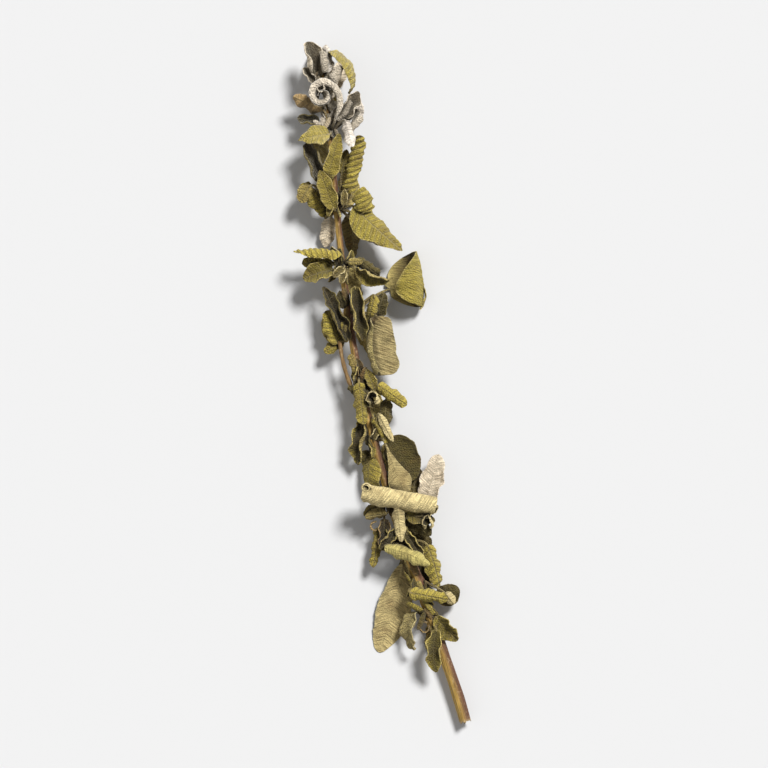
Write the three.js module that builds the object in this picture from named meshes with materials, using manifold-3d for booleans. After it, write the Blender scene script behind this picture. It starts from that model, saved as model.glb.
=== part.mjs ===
// A dried stem of common sage, lying on a surface. Millimetres and degrees, +Z up.
// The woody stem runs along +Y from its cut end to its tip, and its leaves sit in whorls along it.
import * as THREE from "three";
import Module from "manifold-3d";

const wasm = await Module();
wasm.setup();

// Stem
const STEM_LENGTH = 275;
const STEM_BOW = 12.3; // how far the middle of the stem bows to the left
const CUT_END = { x: 3, y: -141.3, z: 4.5 };
const TIP_RISE = 6; // the tip lies this much higher than the cut end
const CUT_RADIUS = 2.2;
const TIP_RADIUS = 0.8;
const SQUARENESS = 0.05; // a sage stem is four-sided with round corners
const STEM_SIDES = 8;
const STEM_STEP = 12;

// Leaves
const BLADE_THICKNESS = 0.7;
const BLADE_ROOT_HALF = 0.6;
const BLADE_TIP_HALF = 0.3;
const WIDEST = 0.42; // where along the blade it is widest
const ROUNDNESS = 0.55; // the lower, the blunter both ends of the blade
const RIB_HEIGHT = 0.18; // relief of the blade between its side veins
const WAVE_HEIGHT = 0.05; // of the waved margin, as a share of the blade's width
const WAVE_LIMIT = 0.5;
const WAVES = 2.5;
const STEP_ALONG = 4.8;
const STEP_ACROSS = 7;
const STEP_CURL = 70;
const STEP_BEND = 38;
const MIDRIB_STEPS = 60;
const TWIST = 30; // the most that a blade twists about its midrib from root to tip, in degrees
const TWIST_FROM = 0.3;
const END_ROWS = 0.08; // how far the rows of a blade crowd towards its rounded ends
const STALK_ROOT_RADIUS = 0.75;
const STALK_END_RADIUS = 0.5;
const STALK_SIDES = 3;
const STALK_STEPS = 3;
const STALK_SINK = 1.2; // how far a stalk runs on into its blade

// Where pieces meet each other and the surface
const GAP = 0.33;
const RIDGE_HEIGHT = 0.9; // the ridge that joins the leaf stalks of a whorl round the stem
const RIDGE_HALF = 1.5;
const PRESS_FROM = 1.5; // what would hang lower than this is bent up by the surface
const PRESS_TO = 0.25;
const SURFACE_SIDE = 600;

const COLOURS = { wood: 0x6b4f2e, green: 0x7d7a3c, grey: 0x9a9276 };

// Each whorl grows at a distance along the stem. Its leaves are placed from there:
// from: [along, side, up] of the blade's root, way: [aim, rise, face] in degrees,
// size: [length, width], curl: [left, right] margin towards the upper side, bend: of the midrib downwards.
// Hook above 1 keeps most of the bend for the tip, sway bows the blade sideways by so many millimetres,
// and flare opens its curl towards the tip.
// stalkTo is where the stalk meets the blade when it isn't the root, or null for a leaf with no stalk of its own.
// Aim is clockwise from the tip's direction as seen from above, and face turns the blade about its own midrib.
const WHORLS = [
  {
    name: "whorl_01_lowest",
    at: 44,
    leaves: [
      { from: [4.5, -5.5, 1], way: [-166, 0, 60], size: [17, 10], curl: [30, 30], bend: 90 },
      { from: [1, 2, 4], way: [150, -5, 20], size: [13, 10], curl: [70, 70], bend: 20 },
      { from: [-4, 1, 5.5], way: [-167, -5, 0], size: [17.5, 8.5], curl: [90, 90], bend: 15, sway: 1.0 },
      { from: [-2, -0.5, -4], way: [-172, -14, 180], size: [16, 7], curl: [-40, -40], bend: 20 },
    ],
  },
  {
    name: "whorl_02",
    at: 60,
    leaves: [
      { from: [-3, -4.5, 6], way: [113, 0, 0], size: [16, 7.5], curl: [-95, -95], bend: 20 },
      { from: [-6.5, 9.5, 4], way: [150, -10, 180], size: [6, 5], curl: [60, 60], bend: 30 },
      { from: [-9, 6, -1], way: [72, 0, 0], size: [10, 9], curl: [20, 20], bend: 10, roundness: 0.45 },
      { from: [1, 1, -4], way: [176, -14, 180], size: [13, 7], curl: [-50, -50], bend: 20 },
    ],
  },
  {
    name: "whorl_03",
    at: 78,
    leaves: [
      { from: [7, -8.5, 1], way: [-159, 0, 0], size: [16.5, 7], curl: [-130, -130], bend: 15 },
      { from: [5, -1.5, 5], way: [-128, 0, 0], size: [11, 7], curl: [110, 110], bend: 10 },
      { from: [3, 1.5, 5.5], way: [160, 0, 0], size: [13, 7], curl: [110, 110], bend: 10 },
      { from: [0, 4, -3], way: [125, 0, 0], size: [8, 8], curl: [-60, -60], bend: 20 },
      { from: [-1, -8, 8.5], way: [124, 0, 170], size: [19.5, 8.5], curl: [95, 95], bend: -20, sway: 1.0 },
      { from: [-4, 9, 2], way: [176, -3, -15], size: [18, 9], curl: [-90, -90], bend: 30 },
      { from: [-6, 5, -2], way: [172, -4, 0], size: [14, 7], curl: [-50, -50], bend: 10 },
      {
        from: [-9.5, -2.5, -3.5],
        way: [-153, -9, 165],
        size: [38, 15],
        curl: [-25, -20],
        bend: 20,
        widest: 0.55,
        sway: 1.5,
      },
      { from: [0, 0.5, -6], way: [180, -14, 180], size: [22, 9], curl: [-50, -50], bend: 20 },
    ],
  },
  {
    name: "whorl_04",
    at: 97,
    leaves: [
      {
        from: [-8.5, 17.5, 9],
        way: [-64.5, 10, 180],
        size: [31, 19.5],
        curl: [170, 140],
        bend: 12,
        roundness: 0.28,
      },
      { from: [-4, -3, 3], way: [-100, 0, 150], size: [9, 6], curl: [70, 70], bend: 10 },
      { from: [-7, -2.5, 5.5], way: [-88, 0, 150], size: [9, 6], curl: [70, 70], bend: 30 },
      { from: [-9, -4, 1], way: [-168, 0, 0], size: [13, 8], curl: [110, 110], bend: 20 },
      { from: [-4.5, 2.5, 8.9], way: [-174, -5, 180], size: [15, 6], curl: [80, 80], bend: 20 },
      { from: [-9, 5, 4], way: [115, 0, 0], size: [12, 7], curl: [60, 60], bend: 10 },
      { from: [-10, 4.5, 2.5], way: [139, -3, 0], size: [13, 8], curl: [-60, -60], bend: 20 },
      { from: [-14, 13, 2], way: [12, 60, 0], size: [6, 11], curl: [160, 160], bend: 0 },
      { from: [-11, 11, 5], way: [70, 10, 0], size: [8, 5], curl: [100, 100], bend: 10 },
      { from: [-6, 14, 0], way: [27, 0, 170], size: [20, 11], curl: [-60, -60], bend: 20 },
      { from: [-4, 9, -2], way: [15, 0, 180], size: [15, 9], curl: [-40, -40], bend: 20 },
      { from: [-6, 6, -5], way: [170, -16, 180], size: [19, 10], curl: [-50, -50], bend: 20 },
    ],
  },
  {
    name: "whorl_05",
    at: 120,
    leaves: [
      { from: [9, 2, 5], way: [160, 0, 10], size: [12, 6.5], curl: [-100, -100], bend: 20 },
      { from: [10, 4.5, 7], way: [166, 0, 180], size: [12.5, 3.5], curl: [40, 40], bend: 10 },
      { from: [9, -2.5, 1], way: [-161, -5, 20], size: [18.5, 9], curl: [120, 120], bend: 15 },
      {
        from: [0, 4, 5],
        way: [171, -7.5, 180],
        size: [25, 10],
        curl: [20, 20],
        bend: 10,
        widest: 0.8,
        roundness: 0.6,
      },
      { from: [0, 8, 1], way: [167, -3, 0], size: [20, 15], curl: [45, 45], bend: -30, roundness: 0.5 },
      { from: [-6, -2.5, -0.5], way: [-172, -2, 50], size: [19, 12], curl: [-30, -30], bend: 50 },
      { from: [-5, -2, -2], way: [-102, 0, 0], size: [7, 5], curl: [-40, -40], bend: 20 },
      { from: [-2, 5, -6], way: [166, -18, 180], size: [20, 11], curl: [-50, -50], bend: 20 },
    ],
  },
  {
    name: "whorl_06",
    at: 146,
    leaves: [
      { from: [-6, 5, 3], way: [-9, 5, 10], size: [9, 5], curl: [60, 60], bend: 10 },
      { from: [-4.5, 6.5, 3], way: [137, 0, 0], size: [14.5, 8.5], curl: [-110, -110], bend: 20 },
      { from: [-9, 4, 3], way: [12, 65, 0], size: [6, 12], curl: [160, 160], bend: 0 },
      { from: [-2, -0.5, 6], way: [-174, -3, 0], size: [17, 8], curl: [-90, -90], bend: 20 },
      { from: [-11, 9, -2], way: [-163, -5, 0], size: [15, 7], curl: [-80, -80], bend: 20 },
      { from: [-2, 2, -6], way: [175, -22, 180], size: [20, 9], curl: [-50, -50], bend: 20 },
    ],
  },
  {
    name: "whorl_07",
    at: 172,
    leaves: [
      { from: [10, 5, 6], way: [-176, -5, 0], size: [22, 10], curl: [125, 125], bend: 15 },
      { from: [5, 12, 3], way: [-155, -5, 10], size: [12, 7.5], curl: [-130, -130], bend: 40 },
      { from: [-5, 10, -1], way: [30, 0, 0], size: [12, 7], curl: [60, 60], bend: 10 },
      {
        from: [-3.5, 11, 3],
        way: [-172, -3, 180],
        size: [24, 19],
        curl: [-230, -15],
        bend: 20,
        widest: 0.6,
        roundness: 0.2,
        sway: -2.5,
      },
      {
        from: [-3.5, 29.6, -5.5],
        way: [2, 0, 103],
        size: [23, 36],
        curl: [-138, -138],
        bend: 40,
        widest: 0.45,
        roundness: 0.27,
        flare: 0.2,
        stalkTo: [6.5, 18.1, -8.3],
      },
      { from: [8.5, 29.3, -4], way: [-177, 0, -90], size: [15, 3], curl: [0, 0], bend: 110, stalkTo: null },
      { from: [-1, 4, -6], way: [170, -20, 180], size: [20, 9], curl: [-50, -50], bend: 20 },
    ],
  },
  {
    name: "whorl_08",
    at: 192,
    leaves: [
      { from: [4, 0.5, 5], way: [-75, 0, 60], size: [19.5, 8], curl: [-95, -95], bend: 40 },
      { from: [2, -4, 1], way: [-81, 0, 0], size: [12, 8], curl: [-120, -120], bend: 20 },
      { from: [-1.5, -4, 2], way: [-95, 5, 30], size: [13, 10], curl: [70, 70], bend: 50 },
      { from: [-1.5, 0.5, 5], way: [-118, 10, 0], size: [6, 4], curl: [80, 80], bend: 10 },
      { from: [-3, 0.5, 5], way: [-147, 10, 0], size: [5.5, 3.5], curl: [80, 80], bend: 10 },
      { from: [0.5, 2.5, 4], way: [102, 0, 0], size: [6, 3.5], curl: [-60, -60], bend: 20 },
      { from: [1, 6, 2], way: [138, 0, 0], size: [12, 7], curl: [-120, -120], bend: 50 },
      { from: [-3, 5, 4], way: [123, 0, 40], size: [14.5, 8], curl: [80, 80], bend: 30 },
      { from: [0, 1.5, -6], way: [172, -20, 180], size: [17, 8], curl: [-50, -50], bend: 20 },
      { from: [1, -4, -6], way: [-85, -34, 180], size: [12, 8], curl: [-50, -50], bend: 20 },
    ],
  },
  {
    name: "whorl_09",
    at: 214,
    leaves: [
      { from: [12, -1.7, 4], way: [27, 0, 15], size: [20, 7.5], curl: [55, 60], bend: 10 },
      { from: [5, 7, 1], way: [21, 3, 20], size: [24, 13], curl: [-150, -150], bend: 10 },
      { from: [14, 5, -2], way: [24, 0, 0], size: [10, 5], curl: [60, 60], bend: 10 },
      { from: [-1.5, -3, -1], way: [-33, 5, 30], size: [18, 10], curl: [-90, -90], bend: 50 },
      { from: [12, -8.5, 2], way: [-137, 0, -10], size: [8, 7], curl: [-40, -40], bend: 30 },
      { from: [0, -1, 5], way: [-8, 5, 0], size: [17, 7.5], curl: [50, 60], bend: 10 },
      { from: [1, 3, 3], way: [17, 20, 0], size: [7, 3.5], curl: [60, 60], bend: 10 },
      {
        from: [0, 7, 4],
        way: [145, -4, -15],
        size: [27, 14],
        curl: [-80, -20],
        bend: 35,
        widest: 0.32,
        roundness: 0.8,
        sway: 1.2,
      },
      { from: [-3.5, 10.5, 6.5], way: [10, 5, 0], size: [10.5, 11], curl: [-80, -80], bend: 60 },
      { from: [-2, 5, -5], way: [-173, -8, 160], size: [18, 8], curl: [50, 50], bend: 10 },
      { from: [-2, -3, -5], way: [-156, -5, 180], size: [12.5, 7], curl: [40, 40], bend: 10 },
      { from: [-9, 8, -3], way: [140, -8, 0], size: [11, 5.5], curl: [-60, -60], bend: 20 },
      { from: [1, 4, -7], way: [20, -16, 180], size: [18, 9], curl: [-50, -50], bend: 20 },
    ],
  },
  {
    name: "whorl_10",
    at: 246,
    leaves: [
      { from: [4, 3.4, 8], way: [102, 0, -90], size: [34, 8], curl: [-140, -140], bend: -560, hook: 2.2 },
      { from: [9, -1, 3], way: [-55, 0, 180], size: [13, 8], curl: [90, 90], bend: 30 },
      { from: [3, 6, 4], way: [42, 8, 0], size: [13, 9], curl: [100, 100], bend: 20 },
      { from: [4, -3.5, 1], way: [-65, -5, 10], size: [9, 7], curl: [110, 110], bend: 10 },
      {
        from: [-2, -0.5, 6],
        way: [-88, 0, 30],
        size: [13, 10],
        curl: [30, 10],
        bend: 40,
        widest: 0.3,
        roundness: 1.0,
      },
      { from: [-3, -10, 2], way: [172, -5, 0], size: [19, 11], curl: [125, 125], bend: 20 },
      { from: [2, 7.2, 7], way: [179, -6, 180], size: [11, 7], curl: [100, 100], bend: 30 },
      { from: [3, 9, 1], way: [50, 0, 150], size: [8, 7], curl: [60, 40], bend: 60 },
      { from: [3, 4, 3], way: [80, 0, 0], size: [10, 7], curl: [80, 80], bend: 20 },
      { from: [0, -3, -6], way: [-155, -16, 180], size: [16, 9], curl: [-50, -50], bend: 20 },
      { from: [2, 3, -6], way: [12, -10, 180], size: [14, 9], curl: [-50, -50], bend: 20 },
    ],
  },
  {
    name: "tip_tuft",
    at: 262,
    leaves: [
      { from: [8, -3, 2], way: [0, 15, 25], size: [13, 13], curl: [140, 100], bend: 20 },
      { from: [7, 2.5, 3], way: [8, 5, 180], size: [11, 7], curl: [80, 80], bend: -30 },
      { from: [15, 4.5, 3], way: [166, 0, -60], size: [24, 8], curl: [-40, -40], bend: 130 },
      { from: [4, -3.5, 3], way: [-26, 8, 0], size: [7.5, 6], curl: [120, 120], bend: 0 },
      { from: [3, -1, -4], way: [0, -10, 180], size: [15, 9], curl: [-50, -50], bend: 20 },
      { from: [0, 3, -5], way: [30, -12, 180], size: [13, 8], curl: [-50, -50], bend: 20 },
    ],
  },
];

const SIDE_SHOOT = {
  name: "side_shoot",
  at: 139,
  twig: [
    [1.5, -3, 1],
    [8, -4.5, 2],
    [16, -5, 2],
    [23, -4.5, 1.5],
  ],
  radius: 0.9,
  leaves: [
    { from: [22.5, -1, 3], way: [-13, 0, 10], size: [24, 9], curl: [120, 120], bend: 15 },
    { from: [22, -5.5, 1], way: [-6, 5, 20], size: [14.5, 9], curl: [-70, -70], bend: 30 },
    { from: [22, -6, 0], way: [-110, 0, 0], size: [6, 5], curl: [-50, -50], bend: 40 },
    { from: [20, -5, -1], way: [-12, -14, 180], size: [16, 8], curl: [-50, -50], bend: 20 },
  ],
};

const rad = THREE.MathUtils.degToRad;

// The stem's centreline at a distance along it from the cut end.
function stemPoint(at) {
  const share = THREE.MathUtils.clamp(at / STEM_LENGTH, 0, 1);
  return new THREE.Vector3(
    CUT_END.x - STEM_BOW * Math.sin(Math.PI * share) ** 1.4,
    CUT_END.y + at,
    CUT_END.z + TIP_RISE * (1 - (1 - share) ** 2),
  );
}

function stemRadius(at) {
  return THREE.MathUtils.lerp(CUT_RADIUS, TIP_RADIUS, at / STEM_LENGTH);
}

// What would hang below the surface is bent up and lies just over it.
function pressed(point) {
  const room = PRESS_FROM - PRESS_TO;
  if (point.z < PRESS_FROM) point.z = PRESS_TO + room * Math.exp((point.z - PRESS_FROM) / room);
  return point;
}

function solidOf(vertices, triangles) {
  const vertProperties = new Float32Array(vertices.flatMap((v) => [v.x, v.y, v.z]));
  return new wasm.Manifold(new wasm.Mesh({ numProp: 3, vertProperties, triVerts: new Uint32Array(triangles) }));
}

// A rod through the points, each with its radius. Squareness raises four corners round it.
function rod(points, radii, sides, squareness = 0) {
  const vertices = [];
  const triangles = [];
  let across = new THREE.Vector3(0, 0, 1);
  points.forEach((point, i) => {
    const along = points[Math.min(i + 1, points.length - 1)].clone().sub(points[Math.max(i - 1, 0)]).normalize();
    if (Math.abs(across.dot(along)) > 0.95) across = new THREE.Vector3(0, 1, 0);
    across = across.addScaledVector(along, -across.dot(along)).normalize();
    const beside = new THREE.Vector3().crossVectors(along, across);
    for (let k = 0; k < sides; k++) {
      const angle = (2 * Math.PI * k) / sides;
      const radius = radii[i] * (1 + squareness * Math.cos(4 * angle));
      const out = across.clone().multiplyScalar(Math.cos(angle)).addScaledVector(beside, Math.sin(angle));
      vertices.push(point.clone().addScaledVector(out, radius));
    }
  });
  const at = (ring, k) => ring * sides + (k % sides);
  for (let ring = 0; ring < points.length - 1; ring++)
    for (let k = 0; k < sides; k++) {
      triangles.push(at(ring, k), at(ring, k + 1), at(ring + 1, k + 1));
      triangles.push(at(ring, k), at(ring + 1, k + 1), at(ring + 1, k));
    }
  const last = points.length - 1;
  for (let k = 1; k < sides - 1; k++) {
    triangles.push(at(0, 0), at(0, k + 1), at(0, k));
    triangles.push(at(last, 0), at(last, k), at(last, k + 1));
  }
  return solidOf(vertices, triangles);
}

function stemRod(from, to, extra) {
  const stations = [from, to];
  for (let at = STEM_STEP; at < STEM_LENGTH; at += STEM_STEP) if (at > from + 1 && at < to - 1) stations.push(at);
  stations.sort((a, b) => a - b);
  const radii = stations.map((at) => stemRadius(at) + extra);
  return rod(stations.map(stemPoint), radii, STEM_SIDES, SQUARENESS);
}

// The two axes of a blade: the line from its root to its tip, and what its upper side faces.
function bladeAxes([aim, rise, face]) {
  const along = new THREE.Vector3(
    Math.sin(rad(aim)) * Math.cos(rad(rise)),
    Math.cos(rad(aim)) * Math.cos(rad(rise)),
    Math.sin(rad(rise)),
  );
  const upper = new THREE.Vector3(0, 0, 1).addScaledVector(along, -along.z).normalize();
  return { along, upper: upper.applyAxisAngle(along, rad(face)) };
}

// A point given as [along, side, up] from the stem's centre at a whorl.
function placed([along, side, up], at) {
  return stemPoint(at).add(new THREE.Vector3(side, along, up));
}

function bladeStart(leaf) {
  const { along, upper } = bladeAxes(leaf.way);
  const half = rad(leaf.bend) / 2;
  return along.multiplyScalar(Math.cos(half)).addScaledVector(upper, Math.sin(half));
}

// Half the blade's width at a share of its length, measured along its curled surface.
function halfWidth(leaf, share) {
  const power = Math.log(0.5) / Math.log(leaf.widest ?? WIDEST);
  const full = Math.sin(Math.PI * share ** power) ** (leaf.roundness ?? ROUNDNESS);
  return Math.max((full * leaf.size[1]) / 2, THREE.MathUtils.lerp(BLADE_ROOT_HALF, BLADE_TIP_HALF, share));
}

// How far the midrib rises towards the blade's upper side at a share of its length, in radians.
function slopeAt(leaf, share) {
  return rad(leaf.bend) * (0.5 - share ** (leaf.hook ?? 1));
}

// The midrib at a share of its length, as millimetres along the blade and towards its upper side.
function midribAt(leaf, share) {
  const step = (leaf.size[0] * share) / MIDRIB_STEPS;
  const place = { ahead: 0, above: 0 };
  for (let n = 0; n < MIDRIB_STEPS; n++) {
    const slope = slopeAt(leaf, (share * (n + 0.5)) / MIDRIB_STEPS);
    place.ahead += step * Math.cos(slope);
    place.above += step * Math.sin(slope);
  }
  return place;
}

// A point of the blade's middle surface. Share runs 0 to 1 from root to tip, and across -1 to 1 from left to right.
function bladePoint(leaf, at, share, across, relief) {
  const [length, width] = leaf.size;
  const { along, upper } = bladeAxes(leaf.way);
  const flat = new THREE.Vector3().crossVectors(along, upper);
  const slope = slopeAt(leaf, share);
  const rising = upper.clone().multiplyScalar(Math.cos(slope)).addScaledVector(along, -Math.sin(slope));
  const twist = rad(TWIST * Math.sin(7 * rad(leaf.way[0]) + length)) * (share - TWIST_FROM);
  const right = flat.clone().multiplyScalar(Math.cos(twist)).addScaledVector(rising, Math.sin(twist));
  const normal = rising.multiplyScalar(Math.cos(twist)).addScaledVector(flat, -Math.sin(twist));
  const arc = across * halfWidth(leaf, share);
  const curl = rad(leaf.curl[across < 0 ? 0 : 1]) * (1 - (leaf.flare ?? 0) * share ** 2) || 1e-6;
  const radius = width / 2 / curl;
  const turned = Math.abs(arc) / radius;
  const wave = Math.min(WAVE_HEIGHT * width, WAVE_LIMIT) * Math.sin(2 * Math.PI * WAVES * share) * across ** 2;
  const lift = radius * (1 - Math.cos(turned)) + (wave + relief) * Math.cos(turned);
  const out = radius * Math.sin(turned) - (wave + relief) * Math.sin(turned);
  const bow = 4 * (leaf.sway ?? 0) * share * (1 - share);
  const { ahead, above } = midribAt(leaf, share);
  const point = placed(leaf.from, at)
    .addScaledVector(along, ahead)
    .addScaledVector(upper, above)
    .addScaledVector(right, Math.sign(across) * out + bow)
    .addScaledVector(normal, lift);
  return pressed(point);
}

// The blade as one thin closed solid: its middle surface, moved out by half its thickness on both faces.
function blade(leaf, at) {
  const [length, width] = leaf.size;
  const stretches = Math.max(length / STEP_ALONG, Math.abs(leaf.bend) / STEP_BEND);
  const rows = THREE.MathUtils.clamp(Math.round(stretches), 3, 16);
  const turns = Math.max(width / STEP_ACROSS, ...leaf.curl.map((curl) => Math.abs(curl) / STEP_CURL));
  const columns = 2 * THREE.MathUtils.clamp(Math.round(turns), 1, 3);
  const middle = [];
  for (let i = 0; i <= rows; i++)
    for (let j = 0; j <= columns; j++) {
      const relief = i > 0 && i < rows ? RIB_HEIGHT * (-1) ** i : 0;
      const share = i / rows - END_ROWS * Math.sin((2 * Math.PI * i) / rows);
      middle.push(bladePoint(leaf, at, share, (2 * j) / columns - 1, relief));
    }
  const id = (i, j) => i * (columns + 1) + j;
  const normalAt = (i, j) => {
    const ahead = middle[id(Math.min(i + 1, rows), j)].clone().sub(middle[id(Math.max(i - 1, 0), j)]);
    const beside = middle[id(i, Math.min(j + 1, columns))].clone().sub(middle[id(i, Math.max(j - 1, 0))]);
    return beside.cross(ahead).normalize();
  };
  const normals = middle.map((_, n) => normalAt(Math.floor(n / (columns + 1)), n % (columns + 1)));
  const face = (side) => middle.map((p, n) => p.clone().addScaledVector(normals[n], (side * BLADE_THICKNESS) / 2));
  const under = middle.length;
  const triangles = [];
  for (let i = 0; i < rows; i++)
    for (let j = 0; j < columns; j++) {
      const [a, b, c, d] = [id(i, j), id(i, j + 1), id(i + 1, j + 1), id(i + 1, j)];
      triangles.push(a, b, c, a, c, d);
      triangles.push(under + a, under + c, under + b, under + a, under + d, under + c);
    }
  const rim = [];
  for (let j = 0; j < columns; j++) rim.push(id(0, j));
  for (let i = 0; i < rows; i++) rim.push(id(i, columns));
  for (let j = columns; j > 0; j--) rim.push(id(rows, j));
  for (let i = rows; i > 0; i--) rim.push(id(i, 0));
  rim.forEach((u, n) => {
    const v = rim[(n + 1) % rim.length];
    triangles.push(u, under + u, under + v, u, under + v, v);
  });
  return solidOf([...face(1), ...face(-1)], triangles);
}

// The stalk from where the leaf grows to its blade's root, running on a little into the blade.
function stalk(leaf, at, growsFrom) {
  const root = leaf.stalkTo ? placed(leaf.stalkTo, at) : placed(leaf.from, at);
  const start = leaf.stalkTo ? new THREE.Vector3(1, 0, 0) : bladeStart(leaf);
  const reach = root.distanceTo(growsFrom);
  const curve = new THREE.CubicBezierCurve3(
    growsFrom,
    growsFrom.clone().lerp(root, 0.4),
    root.clone().addScaledVector(start, -0.3 * reach),
    root.clone().addScaledVector(start, STALK_SINK),
  );
  const points = curve.getPoints(STALK_STEPS).map(pressed);
  const radii = points.map((_, i) => THREE.MathUtils.lerp(STALK_ROOT_RADIUS, STALK_END_RADIUS, i / STALK_STEPS));
  return rod(points, radii, STALK_SIDES);
}

const clearance = stemRod(-5, STEM_LENGTH, GAP);
const underSurface = solidOf(
  [...Array(8).keys()].map(
    (n) => new THREE.Vector3((n & 1 ? 1 : -1) * SURFACE_SIDE, (n & 2 ? 1 : -1) * SURFACE_SIDE, n & 4 ? 0 : -20),
  ),
  [0, 2, 1, 1, 2, 3, 4, 5, 6, 5, 7, 6, 0, 1, 4, 1, 5, 4, 2, 6, 3, 3, 6, 7, 0, 4, 2, 2, 4, 6, 1, 3, 5, 3, 7, 5],
);

function trimmed(solids) {
  const whole = solids.reduce((sum, solid) => sum.add(solid));
  return whole.subtract(clearance).subtract(underSurface);
}

// Where a leaf's stalk leaves the ridge of its whorl, on the side of the stem that its blade is on.
function onRidge(leaf, at) {
  const [, side, up] = leaf.from;
  const out = new THREE.Vector3(side, 0, up).normalize();
  return stemPoint(at).addScaledVector(out, stemRadius(at) + RIDGE_HEIGHT / 2);
}

function leafSolids({ at, leaves }, growsFrom) {
  const stalked = leaves.filter((leaf) => leaf.stalkTo !== null);
  return [
    ...leaves.map((leaf) => blade(leaf, at)),
    ...stalked.map((leaf) => stalk(leaf, at, growsFrom ?? onRidge(leaf, at))),
  ];
}

function whorlSolid(whorl) {
  const ridge = stemRod(whorl.at - RIDGE_HALF, whorl.at + RIDGE_HALF, RIDGE_HEIGHT);
  return trimmed([ridge, ...leafSolids(whorl)]);
}

function shootSolid(shoot) {
  const points = [stemPoint(shoot.at), ...shoot.twig.map((place) => placed(place, shoot.at))];
  const curve = new THREE.CatmullRomCurve3(points);
  const twig = rod(
    curve.getPoints(8),
    Array.from({ length: 9 }, (_, i) => shoot.radius * (1.2 - 0.05 * i)),
    6,
  );
  return trimmed([twig, ...leafSolids(shoot, points.at(-1))]);
}

// The triangles of the largest body that hangs together, without the loose scraps that trimming leaves.
function largestBody(triVerts, numVert) {
  const group = Array.from({ length: numVert }, (_, v) => v);
  const find = (v) => {
    while (group[v] !== v) v = group[v] = group[group[v]];
    return v;
  };
  for (let i = 0; i < triVerts.length; i += 3) {
    group[find(triVerts[i + 1])] = find(triVerts[i]);
    group[find(triVerts[i + 2])] = find(triVerts[i]);
  }
  const bodies = new Map();
  for (let i = 0; i < triVerts.length; i += 3) {
    const body = find(triVerts[i]);
    if (!bodies.has(body)) bodies.set(body, []);
    bodies.get(body).push(triVerts[i], triVerts[i + 1], triVerts[i + 2]);
  }
  return [...bodies.values()].sort((a, b) => b.length - a.length)[0];
}

function meshOf(name, solid, colour, roughness) {
  const { numProp, numVert, vertProperties, triVerts } = solid.getMesh();
  const positions = [];
  const renumbered = new Map();
  const index = largestBody(triVerts, numVert).map((v) => {
    if (!renumbered.has(v)) {
      renumbered.set(v, renumbered.size);
      positions.push(...vertProperties.subarray(v * numProp, v * numProp + 3));
    }
    return renumbered.get(v);
  });
  const geometry = new THREE.BufferGeometry();
  geometry.setAttribute("position", new THREE.Float32BufferAttribute(positions, 3));
  geometry.setIndex(index);
  geometry.computeVertexNormals();
  const mesh = new THREE.Mesh(geometry, new THREE.MeshStandardMaterial({ color: colour, roughness }));
  mesh.name = name;
  return mesh;
}

const sage = new THREE.Group();
sage.add(meshOf("woody_stem", stemRod(0, STEM_LENGTH, 0), COLOURS.wood, 0.8));
for (const whorl of WHORLS) {
  const colour = whorl.at > 240 ? COLOURS.grey : COLOURS.green;
  sage.add(meshOf(whorl.name, whorlSolid(whorl), colour, 0.95));
}
sage.add(meshOf(SIDE_SHOOT.name, shootSolid(SIDE_SHOOT), COLOURS.green, 0.95));

export default sage;
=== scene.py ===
"""A dried stem of common sage with its curled leaves, lying on a pale surface.

Lengths in this file are real millimetres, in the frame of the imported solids: the stem runs along +Y
from its cut end to its tip, and +Z is up. Meshes are scaled to metres when they are finished.
"""

import logging
import math
import random
from dataclasses import dataclass, field
from enum import Enum

import bmesh
import bpy
from mathutils import Matrix, Vector, noise

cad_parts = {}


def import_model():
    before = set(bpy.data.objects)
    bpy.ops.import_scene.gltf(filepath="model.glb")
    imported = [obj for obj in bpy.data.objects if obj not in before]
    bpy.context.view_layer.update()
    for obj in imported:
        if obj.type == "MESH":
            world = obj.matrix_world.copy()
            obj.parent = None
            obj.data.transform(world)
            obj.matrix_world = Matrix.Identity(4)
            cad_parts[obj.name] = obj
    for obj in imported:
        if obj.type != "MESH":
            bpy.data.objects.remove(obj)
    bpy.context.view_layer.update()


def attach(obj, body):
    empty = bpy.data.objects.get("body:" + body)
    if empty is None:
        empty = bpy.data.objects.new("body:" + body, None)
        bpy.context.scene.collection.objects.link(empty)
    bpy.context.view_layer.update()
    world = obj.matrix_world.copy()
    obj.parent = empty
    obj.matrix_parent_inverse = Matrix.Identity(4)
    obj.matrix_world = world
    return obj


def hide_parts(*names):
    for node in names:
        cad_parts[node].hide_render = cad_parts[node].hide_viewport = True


LOG = logging.getLogger("sage")
METRES = 0.001

Place = tuple[float, float, float]
Pair = tuple[float, float]
Source = bpy.types.Node | bpy.types.NodeSocket | float | tuple


def linear_colour(code: str) -> tuple[float, float, float, float]:
    """Turns an sRGB hex colour to the linear values that Blender works in.

    Args:
        code: the colour as "#rrggbb".

    Returns:
        Red, green, blue and an alpha of 1.
    """
    shares = [int(code[i : i + 2], 16) / 255 for i in (1, 3, 5)]
    return tuple(s / 12.92 if s <= 0.04045 else ((s + 0.055) / 1.055) ** 2.4 for s in shares) + (1.0,)


def blended(one: tuple, other: tuple, share: float) -> tuple:
    """Mixes two colours or places, from one at 0 to the other at 1."""
    return tuple(a + (b - a) * share for a, b in zip(one, other))


def clamped(value: float, low: float, high: float) -> float:
    """Keeps a value between two limits."""
    return max(low, min(high, value))


def smooth_share(value: float, start: float, end: float) -> float:
    """Rises smoothly from 0 at start to 1 at end."""
    share = clamped((value - start) / (end - start), 0.0, 1.0)
    return share * share * (3 - 2 * share)


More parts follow.
